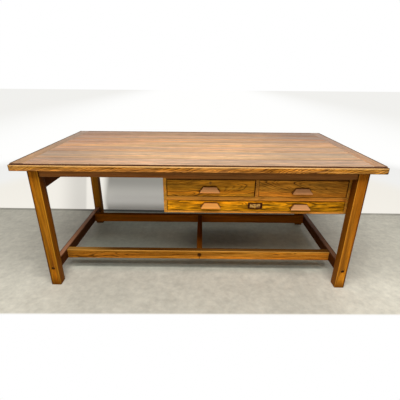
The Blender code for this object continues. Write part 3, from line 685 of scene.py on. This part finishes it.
def make_top():
    """Seven boards of unlike width between breadboard ends."""
    low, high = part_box("top_panel")
    strip_line = high_of("edge_strip_front").z - middle_of("top_panel").z
    # The crease above the front strip is darkened as painted shade.
    crease_shade = below(strip_line + 0.0078, strip_line + 0.0052, 0.98)
    last = len(TOP_BOARDS) - 1
    share = 0.0
    for index, (far_share, tint, tones, end_warmth, heart, lean) in enumerate(TOP_BOARDS):
        front = low.y + (high.y - low.y) * share + (HALF_JOINT if index else 0)
        back = low.y + (high.y - low.y) * far_share - (HALF_JOINT if index < last else 0)
        share = far_share
        board = sawn(f"top_board_{index + 1}", (low.x, front, low.z), (high.x, back, high.z))
        ease(board, TOP_ARRIS, 2)
        if index == 0:
            for x, half_length in DENT_PLACES:
                spot = (x, front - CLEAR_OF_FACE, high.z + CLEAR_OF_FACE)
                cut(board, ball("dent", spot, 1, 20, 12, (half_length, DENT_INWARD, DENT_DOWN)))
        centre = (0, (front + back) / 2, (low.z + high.z) / 2)
        half = (back - front) / 2
        sides = "high" if index == 0 else "low" if index == last else "both"
        dirt_and_shade = [near_sides(half, 0.0035, 0.85 if index < 2 else 0.45, sides=sides), crease_shade]
        if index == last:
            dirt_and_shade.append(near_sides(half - 0.024, 0.016, 0.75, sides="high"))
        wood = oak(
            f"top_oak_{index + 1}",
            centre,
            "x",
            tinted(TOP_STAIN, tint),
            heart=(heart, -0.09 - 0.02 * (index % 3)),
            lean=(lean, 0.02 * (-1) ** index),
            ring=0.012 + 0.002 * (index % 3),
            wander=0.03,
            seed=3.1 + index * 1.7,
            figure=0.45,
            specular=0.3,
            grime_and_shade=any_of(*dirt_and_shade),
            tone=painted_end_light(*tones),
            warmth=warmer_ends(*end_warmth),
            calm=-0.45,
            fleck=1.3,
        )
        fit(board, "table", wood, "oak_top", "top_panel")
        if index == last:
            finish = {"ring": 0.012, "seed": 3.1, "figure": 0.45, "specular": 0.0, "tone": 0.62}
            rim = oak("back_rim_oak", centre, "x", tinted(TOP_STAIN, tint), **finish)
            darken_rim(board, Vector((0, back - BACK_RIM_WIDTH, 0)), Vector((0, 1, 0)), rim)

    # The breadboards' tints, and their tones darker towards the back, carry on the top's painted shade at
    # its ends and back.
    for side, way, seed, tint, joint_grime, tone in (
        ("left", -1, 21.0, (0.72, 0.745, 0.71), 0.35, lengthwise(-0.45, 0.5, 0.98, 0.80)),
        ("right", 1, 27.0, (0.75, 0.77, 0.80), 0.6, lengthwise(-0.45, 0.5, 1.04, 0.78)),
    ):
        node = f"breadboard_end_{side}"
        low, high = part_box(node)
        half = (high - low) / 2
        board = ease(sawn(f"{side}_breadboard", low, high), TOP_ARRIS, 2)
        inward = "high" if way < 0 else "low"
        stain = tinted(TOP_STAIN, tint)
        figure = {"ring": 0.010, "seed": seed, "figure": 0.35}
        wood = oak(
            f"{side}_breadboard_oak",
            middle_of(node),
            "y",
            stain,
            heart=(0.03, -0.08),
            lean=(0.01, 0.03),
            specular=0.3,
            grime_and_shade=any_of(
                near_ends(half.y, 0.006, 0.8),
                near_sides(half.x - 0.007, 0.006, joint_grime, sides=inward),
                crease_shade,
            ),
            tone=tone,
            calm=0.2,
            fleck=0.8,
            **figure,
        )
        fit(board, "table", wood, "oak_top", node)
        rim = oak(f"{side}_rim_oak", middle_of(node), "y", stain, specular=0.0, tone=0.36, **figure)
        outer = low.x if way < 0 else high.x
        darken_rim(board, Vector((outer - way * END_RIM_WIDTH, 0, 0)), Vector((way, 0, 0)), rim)


def darken_rim(board, line, outward, wood):
    """The outer rim of the top is dull and darker."""
    select(board, "FACE")
    bpy.ops.mesh.bisect(plane_co=line, plane_no=outward)
    done()
    board.data.materials.append(wood)
    for face in board.data.polygons:
        if (face.center - line).dot(outward) > 0 and face.normal.z > 0.3:
            face.material_index = 1


def make_edge_strips():
    """Strips along the four edges; the ends of the long ones are cut back at a slant and dark."""
    for side, seed, way in (("front", 5.0, -1), ("back", 9.0, 1)):
        node = f"edge_strip_{side}"
        low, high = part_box(node)
        half = (high - low) / 2
        strip = sawn(f"{side}_edge_strip", low, high)
        face = low.y if way < 0 else high.y

        def on_outer_corner(a, b):
            return max(abs(a.y - face), abs(b.y - face), abs(a.x - b.x)) < NEAR

        select(strip, "EDGE", on_outer_corner)
        bpy.ops.mesh.bevel(offset=STRIP_END_SLANT, segments=1, affect="EDGES")
        done()
        # The lower arrises take painted shade.
        ease(strip, STRIP_ARRIS, 3, painted_shade_at=lambda normal: normal.z < 0)
        wood = oak(
            f"{side}_strip_oak",
            middle_of(node),
            "x",
            STRIP_STAIN,
            heart=(-0.05, -0.34),
            lean=(0.01, 0.29),
            ring=0.0100,
            wander=0.09,
            seed=seed,
            figure=2.0,
            # The ends and the lower edge are darker, and the top face, down in the crease, is darkened as
            # painted shade; the rub paints a highlight along the upper edge, and the tone paints light
            # towards the ends.
            grime_and_shade=any_of(
                near_ends(half.x - 0.004, 0.009, 0.92),
                near_ends(half.x, 0.06, 0.40),
                facing(UP, 0.95),
                near_sides(half.z, 0.005, 0.75, "Z", "low"),
            ),
            rub=near_sides(half.z - 0.0045, 0.0025, 1.0, "Z", "high"),
            tone=painted_end_light(1.20, 1.34),
            bump=0.5,
            calm=0.25,
            fleck=2.4,
        )
        fit(strip, "table", wood, "oak_edge", node)
    for side, seed in (("left", 13.0), ("right", 17.0)):
        node = f"edge_strip_{side}"
        low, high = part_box(node)
        strip = ease(sawn(f"{side}_edge_strip", low, high), STRIP_ARRIS, 3)
        wood = oak(
            f"{side}_strip_oak",
            middle_of(node),
            "y",
            STRIP_STAIN,
            heart=(-0.05, -0.20),
            lean=(0.01, 0.13),
            ring=0.0095,
            wander=0.08,
            seed=seed,
            figure=1.3,
            grime_and_shade=any_of(near_ends((high.y - low.y) / 2, 0.008, 0.7), facing(UP, 0.75)),
            bump=0.5,
            calm=0.6,
        )
        fit(strip, "table", wood, "oak_edge", node)


# Legs, aprons and stretchers

def make_legs():
    steel = metal("blackened_steel", (0.045, 0.016, 0.005), (0.11, 0.045, 0.016))
    for corner, heart, lean, seed, stain in (
        ("front_left", (0.06, 0.05), (0.012, -0.02), 31.0, LEG_STAIN),
        ("front_right", (-0.07, 0.06), (-0.014, 0.016), 37.0, RIGHT_LEG_STAIN),
        ("back_left", (0.05, -0.07), (0.01, 0.02), 41.0, LEG_STAIN),
        ("back_right", (-0.06, -0.05), (0.016, -0.01), 43.0, LEG_STAIN),
    ):
        node, bolt = f"leg_{corner}", f"leg_bolt_{corner}"
        low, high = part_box(node)
        way = -1 if corner.startswith("front") else 1
        outward = -1 if corner.endswith("left") else 1
        leg = sawn(f"{corner}_leg", low, high)
        # The outward arrises take painted shade.
        ease(leg, LEG_ARRIS, 3, painted_shade_at=lambda normal: normal.x * outward > 0.2)
        recess(leg, middle_of(bolt), low.y if way < 0 else high.y)
        half = (high.x - low.x) / 2
        outer, inner = ("low", "high") if outward < 0 else ("high", "low")
        broad = facing((0, way, 0))
        front_right = corner == "front_right"
        wood = oak(
            f"{corner}_leg_oak",
            middle_of(node),
            "z",
            stain,
            heart,
            lean,
            seed,
            ring=0.010,
            wander=0.03,
            figure=0.7,
            # The feet are dark with dirt and the inner face takes painted shade; the broad face gets
            # painted shade along one edge and a painted highlight along the other.
            grime_and_shade=any_of(
                foot_grime((high.z - low.z) / 2),
                inner_shade(-outward, 0.60 if front_right else 0.50),
                only_where(near_sides(half - 0.005, 0.007, 0.85, "Z", inner), broad),
            ),
            rub=only_where(near_sides(half - 0.002, 0.004, 0.8, "Z", outer), broad),
            tone=lengthwise(-0.35, 0.30, 1.27, 0.77) if front_right else lengthwise(-0.3, 0.3, 1.0, 0.95),
        )
        fit(leg, "table", wood, "oak_frame", node)
        make_bolt(f"{corner}_leg_bolt", bolt, way, steel)
    for side, way in (("front", -1), ("back", 1)):
        make_bolt(f"{side}_stretcher_bolt", f"cross_bolt_{side}", way, steel)


def recess(piece, bolt, face):
    """Sinks a round hole for a bolt's head into a face."""
    cut(piece, rod("recess", RECESS_RADIUS, RECESS_LENGTH, (bolt.x, face, bolt.z)))


def make_bolt(name, node, way, steel):
    """A sunk bolt with a domed, slotted head on a thin washer."""
    low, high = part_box(node)
    middle = (low + high) / 2
    radius = (high.x - low.x) / 2
    seat = (low.y if way < 0 else high.y) - way * BOLT_SUNK
    top = seat + way * BOLT_THICKNESS
    bolt = rod(name, radius, BOLT_THICKNESS, (middle.x, (seat + top) / 2, middle.z))
    select(bolt, "FACE", lambda face: face.normal.y * way > 0.9)
    bpy.ops.mesh.inset(thickness=BOLT_DOME_INSET)
    bpy.ops.transform.translate(value=(0, way * BOLT_DOME_RISE, 0))
    done()
    floor, clear = sorted((top - way * BOLT_SLOT_DEPTH, top + way * CUT_CLEARANCE))
    reach = radius * BOLT_SLOT_REACH
    slot_low = (middle.x - reach, floor, middle.z - BOLT_SLOT_HALF)
    cut(bolt, sawn("groove", slot_low, (middle.x + reach, clear, middle.z + BOLT_SLOT_HALF)))
    ease(bolt, BOLT_ARRIS, 2)
    fit(bolt, "table", steel, "dark_steel", node)


RAILS = (
    ("apron_front", "front_apron", "x", APRON_STAIN, (0.02, 0.06), (0.02, 0.01)),
    ("apron_back", "back_apron", "x", APRON_STAIN, (-0.02, 0.06), (0.01, 0.02)),
    ("apron_left", "left_apron", "y", SHADED_STAIN, (0.05, 0.03), (0.02, 0.02)),
    ("apron_right", "right_apron", "y", SHADED_STAIN, (-0.05, 0.03), (0.02, 0.02)),
    ("side_stretcher_left", "left_stretcher", "y", PALE_DUST_AND_SHEEN_STAIN, (0.05, 0.06), (0.02, 0.03)),
    ("side_stretcher_right", "right_stretcher", "y", DUST_AND_SHEEN_STAIN, (0.05, 0.05), (0.03, 0.02)),
    ("long_stretcher_front", "front_stretcher", "x", STRETCHER_STAIN, (-0.022, 0.004), (0.015, 0.02)),
    ("long_stretcher_back", "back_stretcher", "x", BACK_RAIL_STAIN, (-0.05, 0.02), (0.02, 0.03)),
    ("cross_stretcher", "middle_stretcher", "y", BACK_RAIL_STAIN, (0.05, 0.04), (0.02, 0.03)),
)


def make_rails():
    """Aprons and stretchers, with painted shade on the faces that look sideways and darker upper faces on
    the stretchers; the side stretchers' upper faces are also paler with dust and a painted sheen, and the
    front stretcher has a painted highlight along its upper edge.
    """
    for seed, (node, name, grain, stain, heart, lean) in enumerate(RAILS, 51):
        low, high = trimmed(node)
        centre, half = (low + high) / 2, (high - low) / 2
        rail = ease(sawn(name, low, high), RAIL_ARRIS, 3)
        finish = {"ring": 0.010, "figure": 0.8, "wander": 0.03, "fleck": 0.4}
        # Faces that look sideways are darkened as painted shade.
        dirt_and_shade = [facing((1, 0, 0), 0.8), facing((-1, 0, 0), 0.8)]
        if node.startswith("apron"):
            finish.update(ring=0.012, figure=0.7)
        elif node.startswith("side_stretcher"):
            # The side stretchers' upper faces take painted shade by the legs, and elsewhere are paler
            # with dust and a painted sheen.
            dirt_and_shade.append(only_where(facing(UP), near_sides(half.x - 0.002, 0.007, 0.8)))
            finish.update(rub=facing(UP), tone=1.1)
        elif name == "back_stretcher":
            recess(rail, middle_of("cross_bolt_back"), high.y)
            dirt_and_shade.append(facing(UP, 0.55))
            finish.update(specular=0.0)
        elif name == "middle_stretcher":
            dirt_and_shade.append(facing(UP, 0.51))
            finish.update(specular=0.0, tone=lengthwise(-0.2, 0.2, 0.85, 0.68))
        else:
            bolt = middle_of("cross_bolt_front")
            recess(rail, bolt, low.y)
            dirt_and_shade.append(only_where(facing(UP), lengthwise(-0.95, -0.55, 0.45, 0.92)))
            dirt_and_shade += [bolt_stain(bolt - centre), near_sides(half.z, 0.004, 0.7, "Z", "low")]
            finish.update(ring=0.0080, figure=2.0, wander=0.08, fleck=1.0, calm=0.2, specular=0.0)
            # A painted highlight along the upper edge, where the arris is worn as well.
            finish["rub"] = near_sides(half.z - 0.003, 0.004, 0.9, "Z", "high")
            finish["tone"] = lengthwise(-0.8, 0.1, 1.02, 1.27)
        finish["grime_and_shade"] = any_of(*dirt_and_shade)
        wood = oak(f"{name}_oak", centre, grain, stain, heart, lean, seed, **finish)
        fit(rail, "table", wood, "oak_dark" if node.startswith("apron") else "oak_frame", node)


def trimmed(node):
    """A rail's corners between its shoulders, without the tenons that its neighbours hide."""
    low, high = (corner.copy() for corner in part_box(node))
    if node in ("apron_front", "apron_back"):
        low.x = high_of("leg_front_left").x + SHOULDER_GAP
        high.x = low_of("leg_front_right").x - SHOULDER_GAP
    elif node.startswith(("apron", "side_stretcher")):
        low.y = high_of("leg_front_left").y + SHOULDER_GAP
        high.y = low_of("leg_back_left").y - SHOULDER_GAP
    elif node.startswith("long_stretcher"):
        low.x = high_of("side_stretcher_left").x + SHOULDER_GAP
        high.x = low_of("side_stretcher_right").x - SHOULDER_GAP
    return low, high


# The drawer case and the drawers

PULLS = (
    ("left_drawer_pull", "left_pull", PULL_STAIN, 111.0),
    ("right_drawer_pull", "right_pull", RIGHT_PULL_STAIN, 113.0),
    ("lower_drawer_pull_left", "lower_left_pull", WARM_PULL_STAIN, 115.0),
    ("lower_drawer_pull_right", "lower_right_pull", LOWER_PULL_STAIN, 117.0),
)

CASE_PARTS = (
    ("case_side_left", CASE_STAIN, "y", (0.04, 0.05), (0.02, 0.05), 0.8),
    ("case_side_right", CASE_STAIN, "y", (-0.04, 0.05), (0.02, 0.05), 0.8),
    ("case_back", BOX_STAIN, "x", (0.05, 0.06), (0.02, 0.05), 0.7),
    ("case_bottom", CASE_STAIN, "x", (0.08, 0.06), (0.02, 0.04), 0.7),
    ("case_header", HEADER_STAIN, "x", (0.04, 0.05), (0.01, 0.02), 0.6),
    ("case_web_frame", RAIL_STAIN, "x", (0.04, 0.05), (0.015, 0.03), 0.8),
    ("case_divider", RAIL_STAIN, "y", (0.04, 0.05), (0.02, 0.05), 0.7),
    ("case_kicker_frame_left", BOX_STAIN, "x", (0.04, 0.05), (0.02, 0.05), 0.6),
    ("case_kicker_frame_right", BOX_STAIN, "x", (0.04, 0.05), (0.02, 0.05), 0.6),
)


def make_case():
    for seed, (node, stain, grain, heart, lean, figure) in enumerate(CASE_PARTS, 61):
        ring = 0.006 if node == "case_web_frame" else 0.007
        # The right side of the case, beside the leg, is darkened as painted shade.
        tone = 0.72 if node == "case_side_right" else 1.0
        finish = {"ring": ring, "wander": 0.03, "figure": figure, "tone": tone}
        coat_node(node, oak(f"{node}_oak", middle_of(node), grain, stain, heart, lean, seed, **finish))


def make_drawer_boxes():
    finish = {"ring": 0.007, "wander": 0.03, "figure": 0.6, "specular": 0.2}
    for drawer, seed in (("left_drawer", 71.0), ("right_drawer", 81.0), ("lower_drawer", 91.0)):
        for number, (part, grain) in enumerate(
            (("side_left", "y"), ("side_right", "y"), ("back", "x"), ("bottom", "x"))
        ):
            node = f"{drawer}_{part}"
            heart = (0.05 - 0.02 * number, 0.07)
            log = {"heart": heart, "lean": (0.02, 0.04), "seed": seed + number}
            coat_node(node, oak(f"{node}_oak", middle_of(node), grain, BOX_STAIN, **log, **finish))


def make_drawer_fronts():
    """Lively figured fronts, with dirt in their joints, and dirt and painted shade round the pulls."""
    upper = {"wander": 0.050, "calm": -0.2, "fleck": 1.7}
    lower = {"wander": 0.070, "calm": -0.7, "fleck": 3.6}
    right_tone = lengthwise(0.04, 0.11, 1.0, 0.72)
    lower_tone = lengthwise(-0.36, -0.08, 1.08, 0.88)
    for node, stain, heart, lean, seed, ring, left_dirt, right_dirt, tone, figure in (
        ("left_drawer_front", FRONT_STAIN, (0.03, -0.016), (0.09, 0.16), 101, 0.0058, 0.97, 1, 1, upper),
        ("right_drawer_front", RIGHT_FRONT_STAIN, (0.034, 0.026), (-0.07, -0.17), 104, 0.0062, 0, 1,
         right_tone, upper),
        ("lower_drawer_front", LOWER_STAIN, (0.026, 0.002), (0.04, 0.03), 107, 0.0058, 0.6, 0.5,
         lower_tone, lower),
    ):
        low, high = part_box(node)
        centre, half = (low + high) / 2, (high - low) / 2
        pulls = [pull for pull, *_ in PULLS if pull.startswith(node.replace("_front", "_pull"))]
        grime_and_shade = any_of(
            near_sides(half.x, 0.006, left_dirt, "X", "low"),
            near_sides(half.x - 0.003, 0.005, right_dirt, "X", "high"),
            near_sides(half.z, 0.004, 0.9, "Z"),
            near_sides(half.z, 0.0065, 0.95, "Z", "high"),
            *(pull_shade_and_dirt(pull, centre) for pull in pulls),
        )
        finish = {"ring": ring, "figure": 1.3, "bump": 0.5, "grime_and_shade": grime_and_shade, "tone": tone, **figure}
        coat_node(node, oak(f"{node}_oak", centre, "x", stain, heart, lean, seed, **finish))


def make_pulls():
    """Hooded pulls: a wedge that widens down to its lip, hollowed from below for the fingers."""
    for node, name, stain, seed in PULLS:
        low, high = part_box(node)
        middle = (low + high) / 2
        foot = (middle.x, middle.y, low.z)
        pull = sawn(name, low, high)
        select(pull, "FACE")
        bpy.ops.mesh.bisect(plane_co=(middle.x, middle.y, low.z + PULL_LIP), plane_no=UP)
        done()
        select(pull, "VERT", lambda spot: spot.z > high.z - NEAR)
        bpy.ops.transform.resize(value=(PULL_TOP_SHARE, 1, 1), center_override=middle)
        done()
        select(pull, "VERT", lambda spot: spot.z > high.z - NEAR and spot.y < middle.y)
        bpy.ops.transform.translate(value=(0, PULL_BACKWARD, 0))
        done()
        ease(pull, PULL_ARRIS, 3, 12)
        hollow = rod("hollow", HOLLOW_RADIUS, HOLLOW_LENGTH, foot, "x", 48)
        select(hollow, "VERT")
        bpy.ops.transform.resize(value=(1, HOLLOW_RISE / HOLLOW_RADIUS, 1), center_override=foot)
        done()
        finish_with(hollow, "BEVEL", width=HOLLOW_ROUND, segments=4, limit_method="ANGLE")
        cut(pull, hollow)
        bpy.ops.object.shade_smooth_by_angle(angle=SMOOTH_ANGLE)

        log = {"heart": (0.02, 0.03), "lean": (0.03, 0.05), "seed": seed}
        # The lip's front face takes a lighter oak, a painted highlight, and the sides and top a much
        # darker one.
        bright = [[min(part * 1.45, 0.85) for part in colour] for colour in stain]
        wood = oak(f"{name}_oak", middle, "x", stain, fleck=0.9, **log)
        fit(pull, node.split("_pull")[0], wood, "oak_pull", node)
        darker_sides = oak(f"{name}_dark_oak", middle, "x", HEADER_STAIN, figure=0.6, tone=0.32, **log)
        pull.data.materials.append(darker_sides)
        pull.data.materials.append(oak(f"{name}_lip_highlight_oak", middle, "x", bright, figure=0.4, **log))
        for face in pull.data.polygons:
            rise, normal = face.center.z - low.z, face.normal
            underneath = normal.z < -0.2 or rise < 0.0005
            if not underneath and (abs(normal.x) > 0.2 or normal.z > 0.58):
                face.material_index = 1
            elif not underneath and normal.y < -0.95 and rise < PULL_LIP_FACE:
                face.material_index = 2


def make_card_holder():
    """A stamped brass frame with a raised rim and a thumb notch, held by two domed screws."""
    brass = metal("dark_brass", (0.045, 0.010, 0.003), (0.11, 0.038, 0.010), 260)
    low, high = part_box("card_holder")
    middle = (low + high) / 2
    holder = sawn("card_frame", low, high)
    select(holder, "FACE", lambda face: face.normal.y < -0.9)
    bpy.ops.mesh.inset(thickness=HOLDER_RIM)
    bpy.ops.mesh.extrude_region_move(TRANSFORM_OT_translate={"value": (0, HOLDER_STEP, 0)})
    done()
    half = Vector((WINDOW_HALF_WIDTH, (high.y - low.y) / 2 + CUT_CLEARANCE, WINDOW_HALF_HEIGHT))
    window = sawn("window", middle - half, middle + half)
    finish_with(window, "BEVEL", width=WINDOW_ROUND, segments=4, limit_method="ANGLE")
    cut(holder, window)
    sill = (middle.x, middle.y, middle.z - WINDOW_HALF_HEIGHT)
    cut(holder, rod("notch", NOTCH_RADIUS, NOTCH_LENGTH, sill))
    ease(holder, HOLDER_ARRIS, 2)
    fit(holder, "lower_drawer", brass, "dark_brass", "card_holder")
    make_card_screw("left", 0.35, brass)
    make_card_screw("right", -0.6, brass)
    card = sawn(
        "label_card",
        (middle.x - CARD_HALF_WIDTH, high.y - CARD_FACE, middle.z - CARD_HALF_HEIGHT),
        (middle.x + CARD_HALF_WIDTH, high.y - CARD_BACK, middle.z + CARD_HALF_HEIGHT),
    )
    fit(ease(card, CARD_ARRIS, 1), "lower_drawer", aged_card(), "oak_box")


def make_card_screw(side, tilt, brass):
    """A low dome with a slot that stands at a tilt."""
    node = f"card_holder_screw_{side}"
    centre = middle_of(node)
    seat = low_of(node).y + SCREW_RISE
    base = (centre.x, seat, centre.z)
    screw = ball(f"{side}_card_screw", base, SCREW_RADIUS, 24, 16)
    select(screw, "FACE")
    bpy.ops.mesh.bisect(plane_co=base, plane_no=(0, 1, 0), use_fill=True, clear_outer=True)
    done()
    select(screw, "VERT")
    bpy.ops.transform.resize(value=(1, SCREW_RISE / SCREW_RADIUS, 1), center_override=base)
    done()
    groove = sawn(
        "groove",
        (centre.x - SCREW_SLOT_REACH, seat - SCREW_SLOT_TOP, centre.z - SCREW_SLOT_HALF),
        (centre.x + SCREW_SLOT_REACH, seat - SCREW_SLOT_FLOOR, centre.z + SCREW_SLOT_HALF),
    )
    turn = Matrix.Translation(centre) @ Matrix.Rotation(tilt, 4, "Y") @ Matrix.Translation(-centre)
    groove.data.transform(turn)
    cut(screw, groove)
    bpy.ops.object.shade_smooth_by_angle(angle=SMOOTH_ANGLE)
    fit(screw, "lower_drawer", brass, "dark_brass", node)


def aged_card():
    """Yellowed card with soft age spots."""
    material, tree, shader = new_material("aged_card")
    place = wire(tree, "TexCoord", output="Object")
    age = spread(noise(place, 62.0, 3.0), 0.40, 0.62)
    colour = mix(age, (0.62, 0.335, 0.075, 1), (0.21, 0.095, 0.022, 1))
    colour = mix(noise(place, 900.0, 2.0) * 0.3, colour, (0.20, 0.10, 0.02, 1))
    set_inputs(shader, {"Base Color": colour, "Roughness": 0.9})
    return material


def coat_lock():
    coat_node("lock_cylinder", metal("worn_brass", (0.24, 0.10, 0.012), (0.40, 0.19, 0.035), 300))
    coat_node("lock_plug", metal("lock_brass", (0.13, 0.055, 0.008), (0.24, 0.11, 0.02), 300))


# Studio. Places on the floor are in metres from the middle of the table

def table_shade(x, y, depth):
    """How light the floor is painted: painted shade behind and under the table and below the front
    stretcher, a painted shadow along the foot of the wall, and painted light on the open floor in front
    and to the sides.
    """
    beside = abs(x)
    wall_foot = band(depth, 0.680, 0.702, 0.732, 0.742) * spread(beside, 0.9, 1.5, 0.3, 0.9)
    light = strongest_of(spread(depth, 0.59, 0.69, 0.76, 1.0), spread(beside, 0.7, 1.3))
    light = light * (1.0 - wall_foot)
    light = light * spread(x, 0.7, 1.8, 1.42, 1.0) * spread(x, -0.7, -1.6, 1.2, 1.0)
    forward = spread(x * -0.1 + y, 0.42, 0.10, 0.30) * spread(beside, 1.0, 0.7) * spread(y, -0.42, -0.30)
    light = light * (1.0 - forward)
    under_case = band(x, -0.25, 0.06, 0.30, 0.75) * band(y, 0.40, 0.27, 0.10, -0.04)
    light = light * (under_case * -0.5 + 1.0)
    open_floor = band(y, -0.12, -0.20, -0.32, -0.42) * spread(x, 0.30, -0.50, 0.32, 0.08)
    open_floor = open_floor * spread(beside, 1.0, 0.85)
    corners = spread(y, -0.30, -0.50) * spread(beside, 0.65, 1.05) * spread(x, -0.5, 0.5, 0.20, 0.12)
    light = light * (open_floor + corners + 1.0)
    below_rail = band(y, -0.246, -0.258, -0.275, -0.289) * spread(beside, 0.98, 0.90)
    light = light * (below_rail * -0.40 + 1.0)
    beyond_rail = band(y, -0.272, -0.290, -0.36, -0.42) * band(x, -0.05, 0.15, 0.5, 0.66)
    return light * (beyond_rail * 0.15 + 1.0)


def make_floor():
    """A worn pale floor with painted shade round the table; beyond a line it turns white as a painted
    wall with painted shade on it, and runs out into the white of the room.
    """
    floor = blank("studio_floor", bpy.ops.mesh.primitive_plane_add, size=60, location=(0, 0, 0))
    material, tree, shader = new_material("studio_floor")
    place = wire(tree, "TexCoord", output="Object")
    x, y = place.part("X"), place.part("Y")
    beside = abs(x)
    depth = x * 0.0115 + y

    stains = noise(place, 9.0, 4.0, 0.6) * 0.38 + noise(place, 24.0, 3.0, 0.6) * 0.46
    shade = noise(place, 3.0, 5.0) * 0.16 + noise(place, 60.0, 3.0) * 0.13 + stains + 0.435
    colour = times(times((0.560, 0.540, 0.464, 1), grey(shade)), grey(table_shade(x, y, depth)))
    # Under the table the floor is tinted greener, painted against the warm light that the wood throws on
    # it.
    covered = spread(beside, 1.05, 0.9) * spread(y, -0.36, -0.22)
    colour = mix(covered, colour, times(colour, (0.97, 1.07, 1.04, 1)))
    behind = slope(depth, 0.735, 0.742)
    ahead = spread(x * -0.0123 + y, -0.748, -0.768)
    white = strongest_of(behind, ahead, spread(beside, 2.2, 3.4))

    # The painted shade on the wall has upright edges as seen from the front
    slant = (x - 0.0205) / (y * 0.9224 + 2.4926)
    gap = band(slant, -0.340, -0.306, 0.46, 0.50)
    half_shade = band(slant, -0.498, -0.410, -0.394, -0.384) * spread(depth, 2.6, 2.0, 0.23) * behind
    wall_light = 1.0 - strongest_of(spread(depth, 0.95, 1.65, 0.45) * gap, half_shade)
    wall = times((0.9, 0.88, 0.80, 1), grey(wall_light))
    finish = {"Base Color": mix(white, colour, wall), "Roughness": 0.7, "Specular IOR Level": 0.2}
    set_inputs(shader, finish)

    # Further out the floor runs into the white of the room
    far = spread(vector_calc("LENGTH", place), 2.6, 4.4)
    tint = mix(spread(beside, 3.5, 8.0), (1, 1, 0.99, 1), (0.88, 0.875, 0.85, 1))
    tint = mix(behind * spread(far, 0.3, 0.0), tint, (1, 0.965, 0.89, 1))
    tint = times(mix(ahead, tint, WHITE), grey(1.0 - half_shade))
    glow = wire(tree, "Emission", {"Color": tint, "Strength": 1.0})
    # Behind the wall line the glow paints the wall's light: weaker near its foot and in the gap under the
    # table, where painted shade falls.
    lit = spread(depth, 0.745, 0.98, 0.28, 0.05) * spread(depth, 1.0, 1.75, 0.15, 1.0)
    lit = strongest_of(lit, gap * -0.80 + 0.80)
    share = strongest_of(far * white, lit * behind, ahead) * seen_directly(tree)
    mixed = wire(tree, "MixShader", {0: share, 1: Wire(tree, shader.outputs[0]), 2: glow})
    set_inputs(tree.nodes["Material Output"], {"Surface": mixed})
    floor.data.materials.append(material)


def seen_directly(tree):
    """Whether the white of the room is seen, and not only lights the table."""
    path = add_node(tree, "LightPath").outputs
    rays = ("Is Camera Ray", "Is Glossy Ray", "Is Transmission Ray")
    return strongest_of(*(Wire(tree, path[ray]) for ray in rays))


def make_light():
    world = bpy.data.worlds.new("studio")
    bpy.context.scene.world = world
    world.use_nodes = True
    tree = world.node_tree
    tree.nodes.clear()
    room = wire(tree, "Background", {"Color": (1.0, 0.99, 0.97, 1), "Strength": 0.17})
    white = wire(tree, "Background", {"Color": WHITE, "Strength": 1.0})
    mixed = wire(tree, "MixShader", {0: seen_directly(tree), 1: room, 2: white})
    add_node(tree, "OutputWorld", {"Surface": mixed})

    aim = Vector((0, -0.3, 0.5))
    for name, place, size, power in (
        ("ceiling_light", (0.1, -2.1, 3.5), (3.0, 1.6), 140.0),
        ("window_light", (-2.6, -3.0, 2.0), (2.0, 1.4), 12.0),
    ):
        lamp = bpy.data.lights.new(name, "AREA")
        lamp.shape = "RECTANGLE"
        lamp.size, lamp.size_y = size
        lamp.energy = power
        lamp.color = (1.0, 0.985, 0.96)
        made = bpy.data.objects.new(name, lamp)
        bpy.context.scene.collection.objects.link(made)
        made.location = place
        made.rotation_euler = (aim - Vector(place)).to_track_quat("-Z", "Y").to_euler()


def make_camera():
    """The photograph's own viewpoint, in metres and radians."""
    eye, pan, tilt_down, roll = (0.0205, -2.1448, 1.3314), 0.00478, 0.39646, 0.008
    lens = bpy.data.cameras.new("camera")
    lens.lens = 26.62
    camera = bpy.data.objects.new("camera", lens)
    bpy.context.scene.collection.objects.link(camera)
    camera.matrix_world = (
        Matrix.Translation(eye)
        @ Matrix.Rotation(pan, 4, "Z")
        @ Matrix.Rotation(pi / 2 - tilt_down, 4, "X")
        @ Matrix.Rotation(roll, 4, "Z")
    )
    bpy.context.scene.camera = camera
    bpy.context.scene.view_settings.view_transform = "Standard"


make_camera()
make_light()
make_floor()
make_top()
make_edge_strips()
make_legs()
make_rails()
make_case()
make_drawer_boxes()
make_drawer_fronts()
make_pulls()
make_card_holder()
coat_lock()
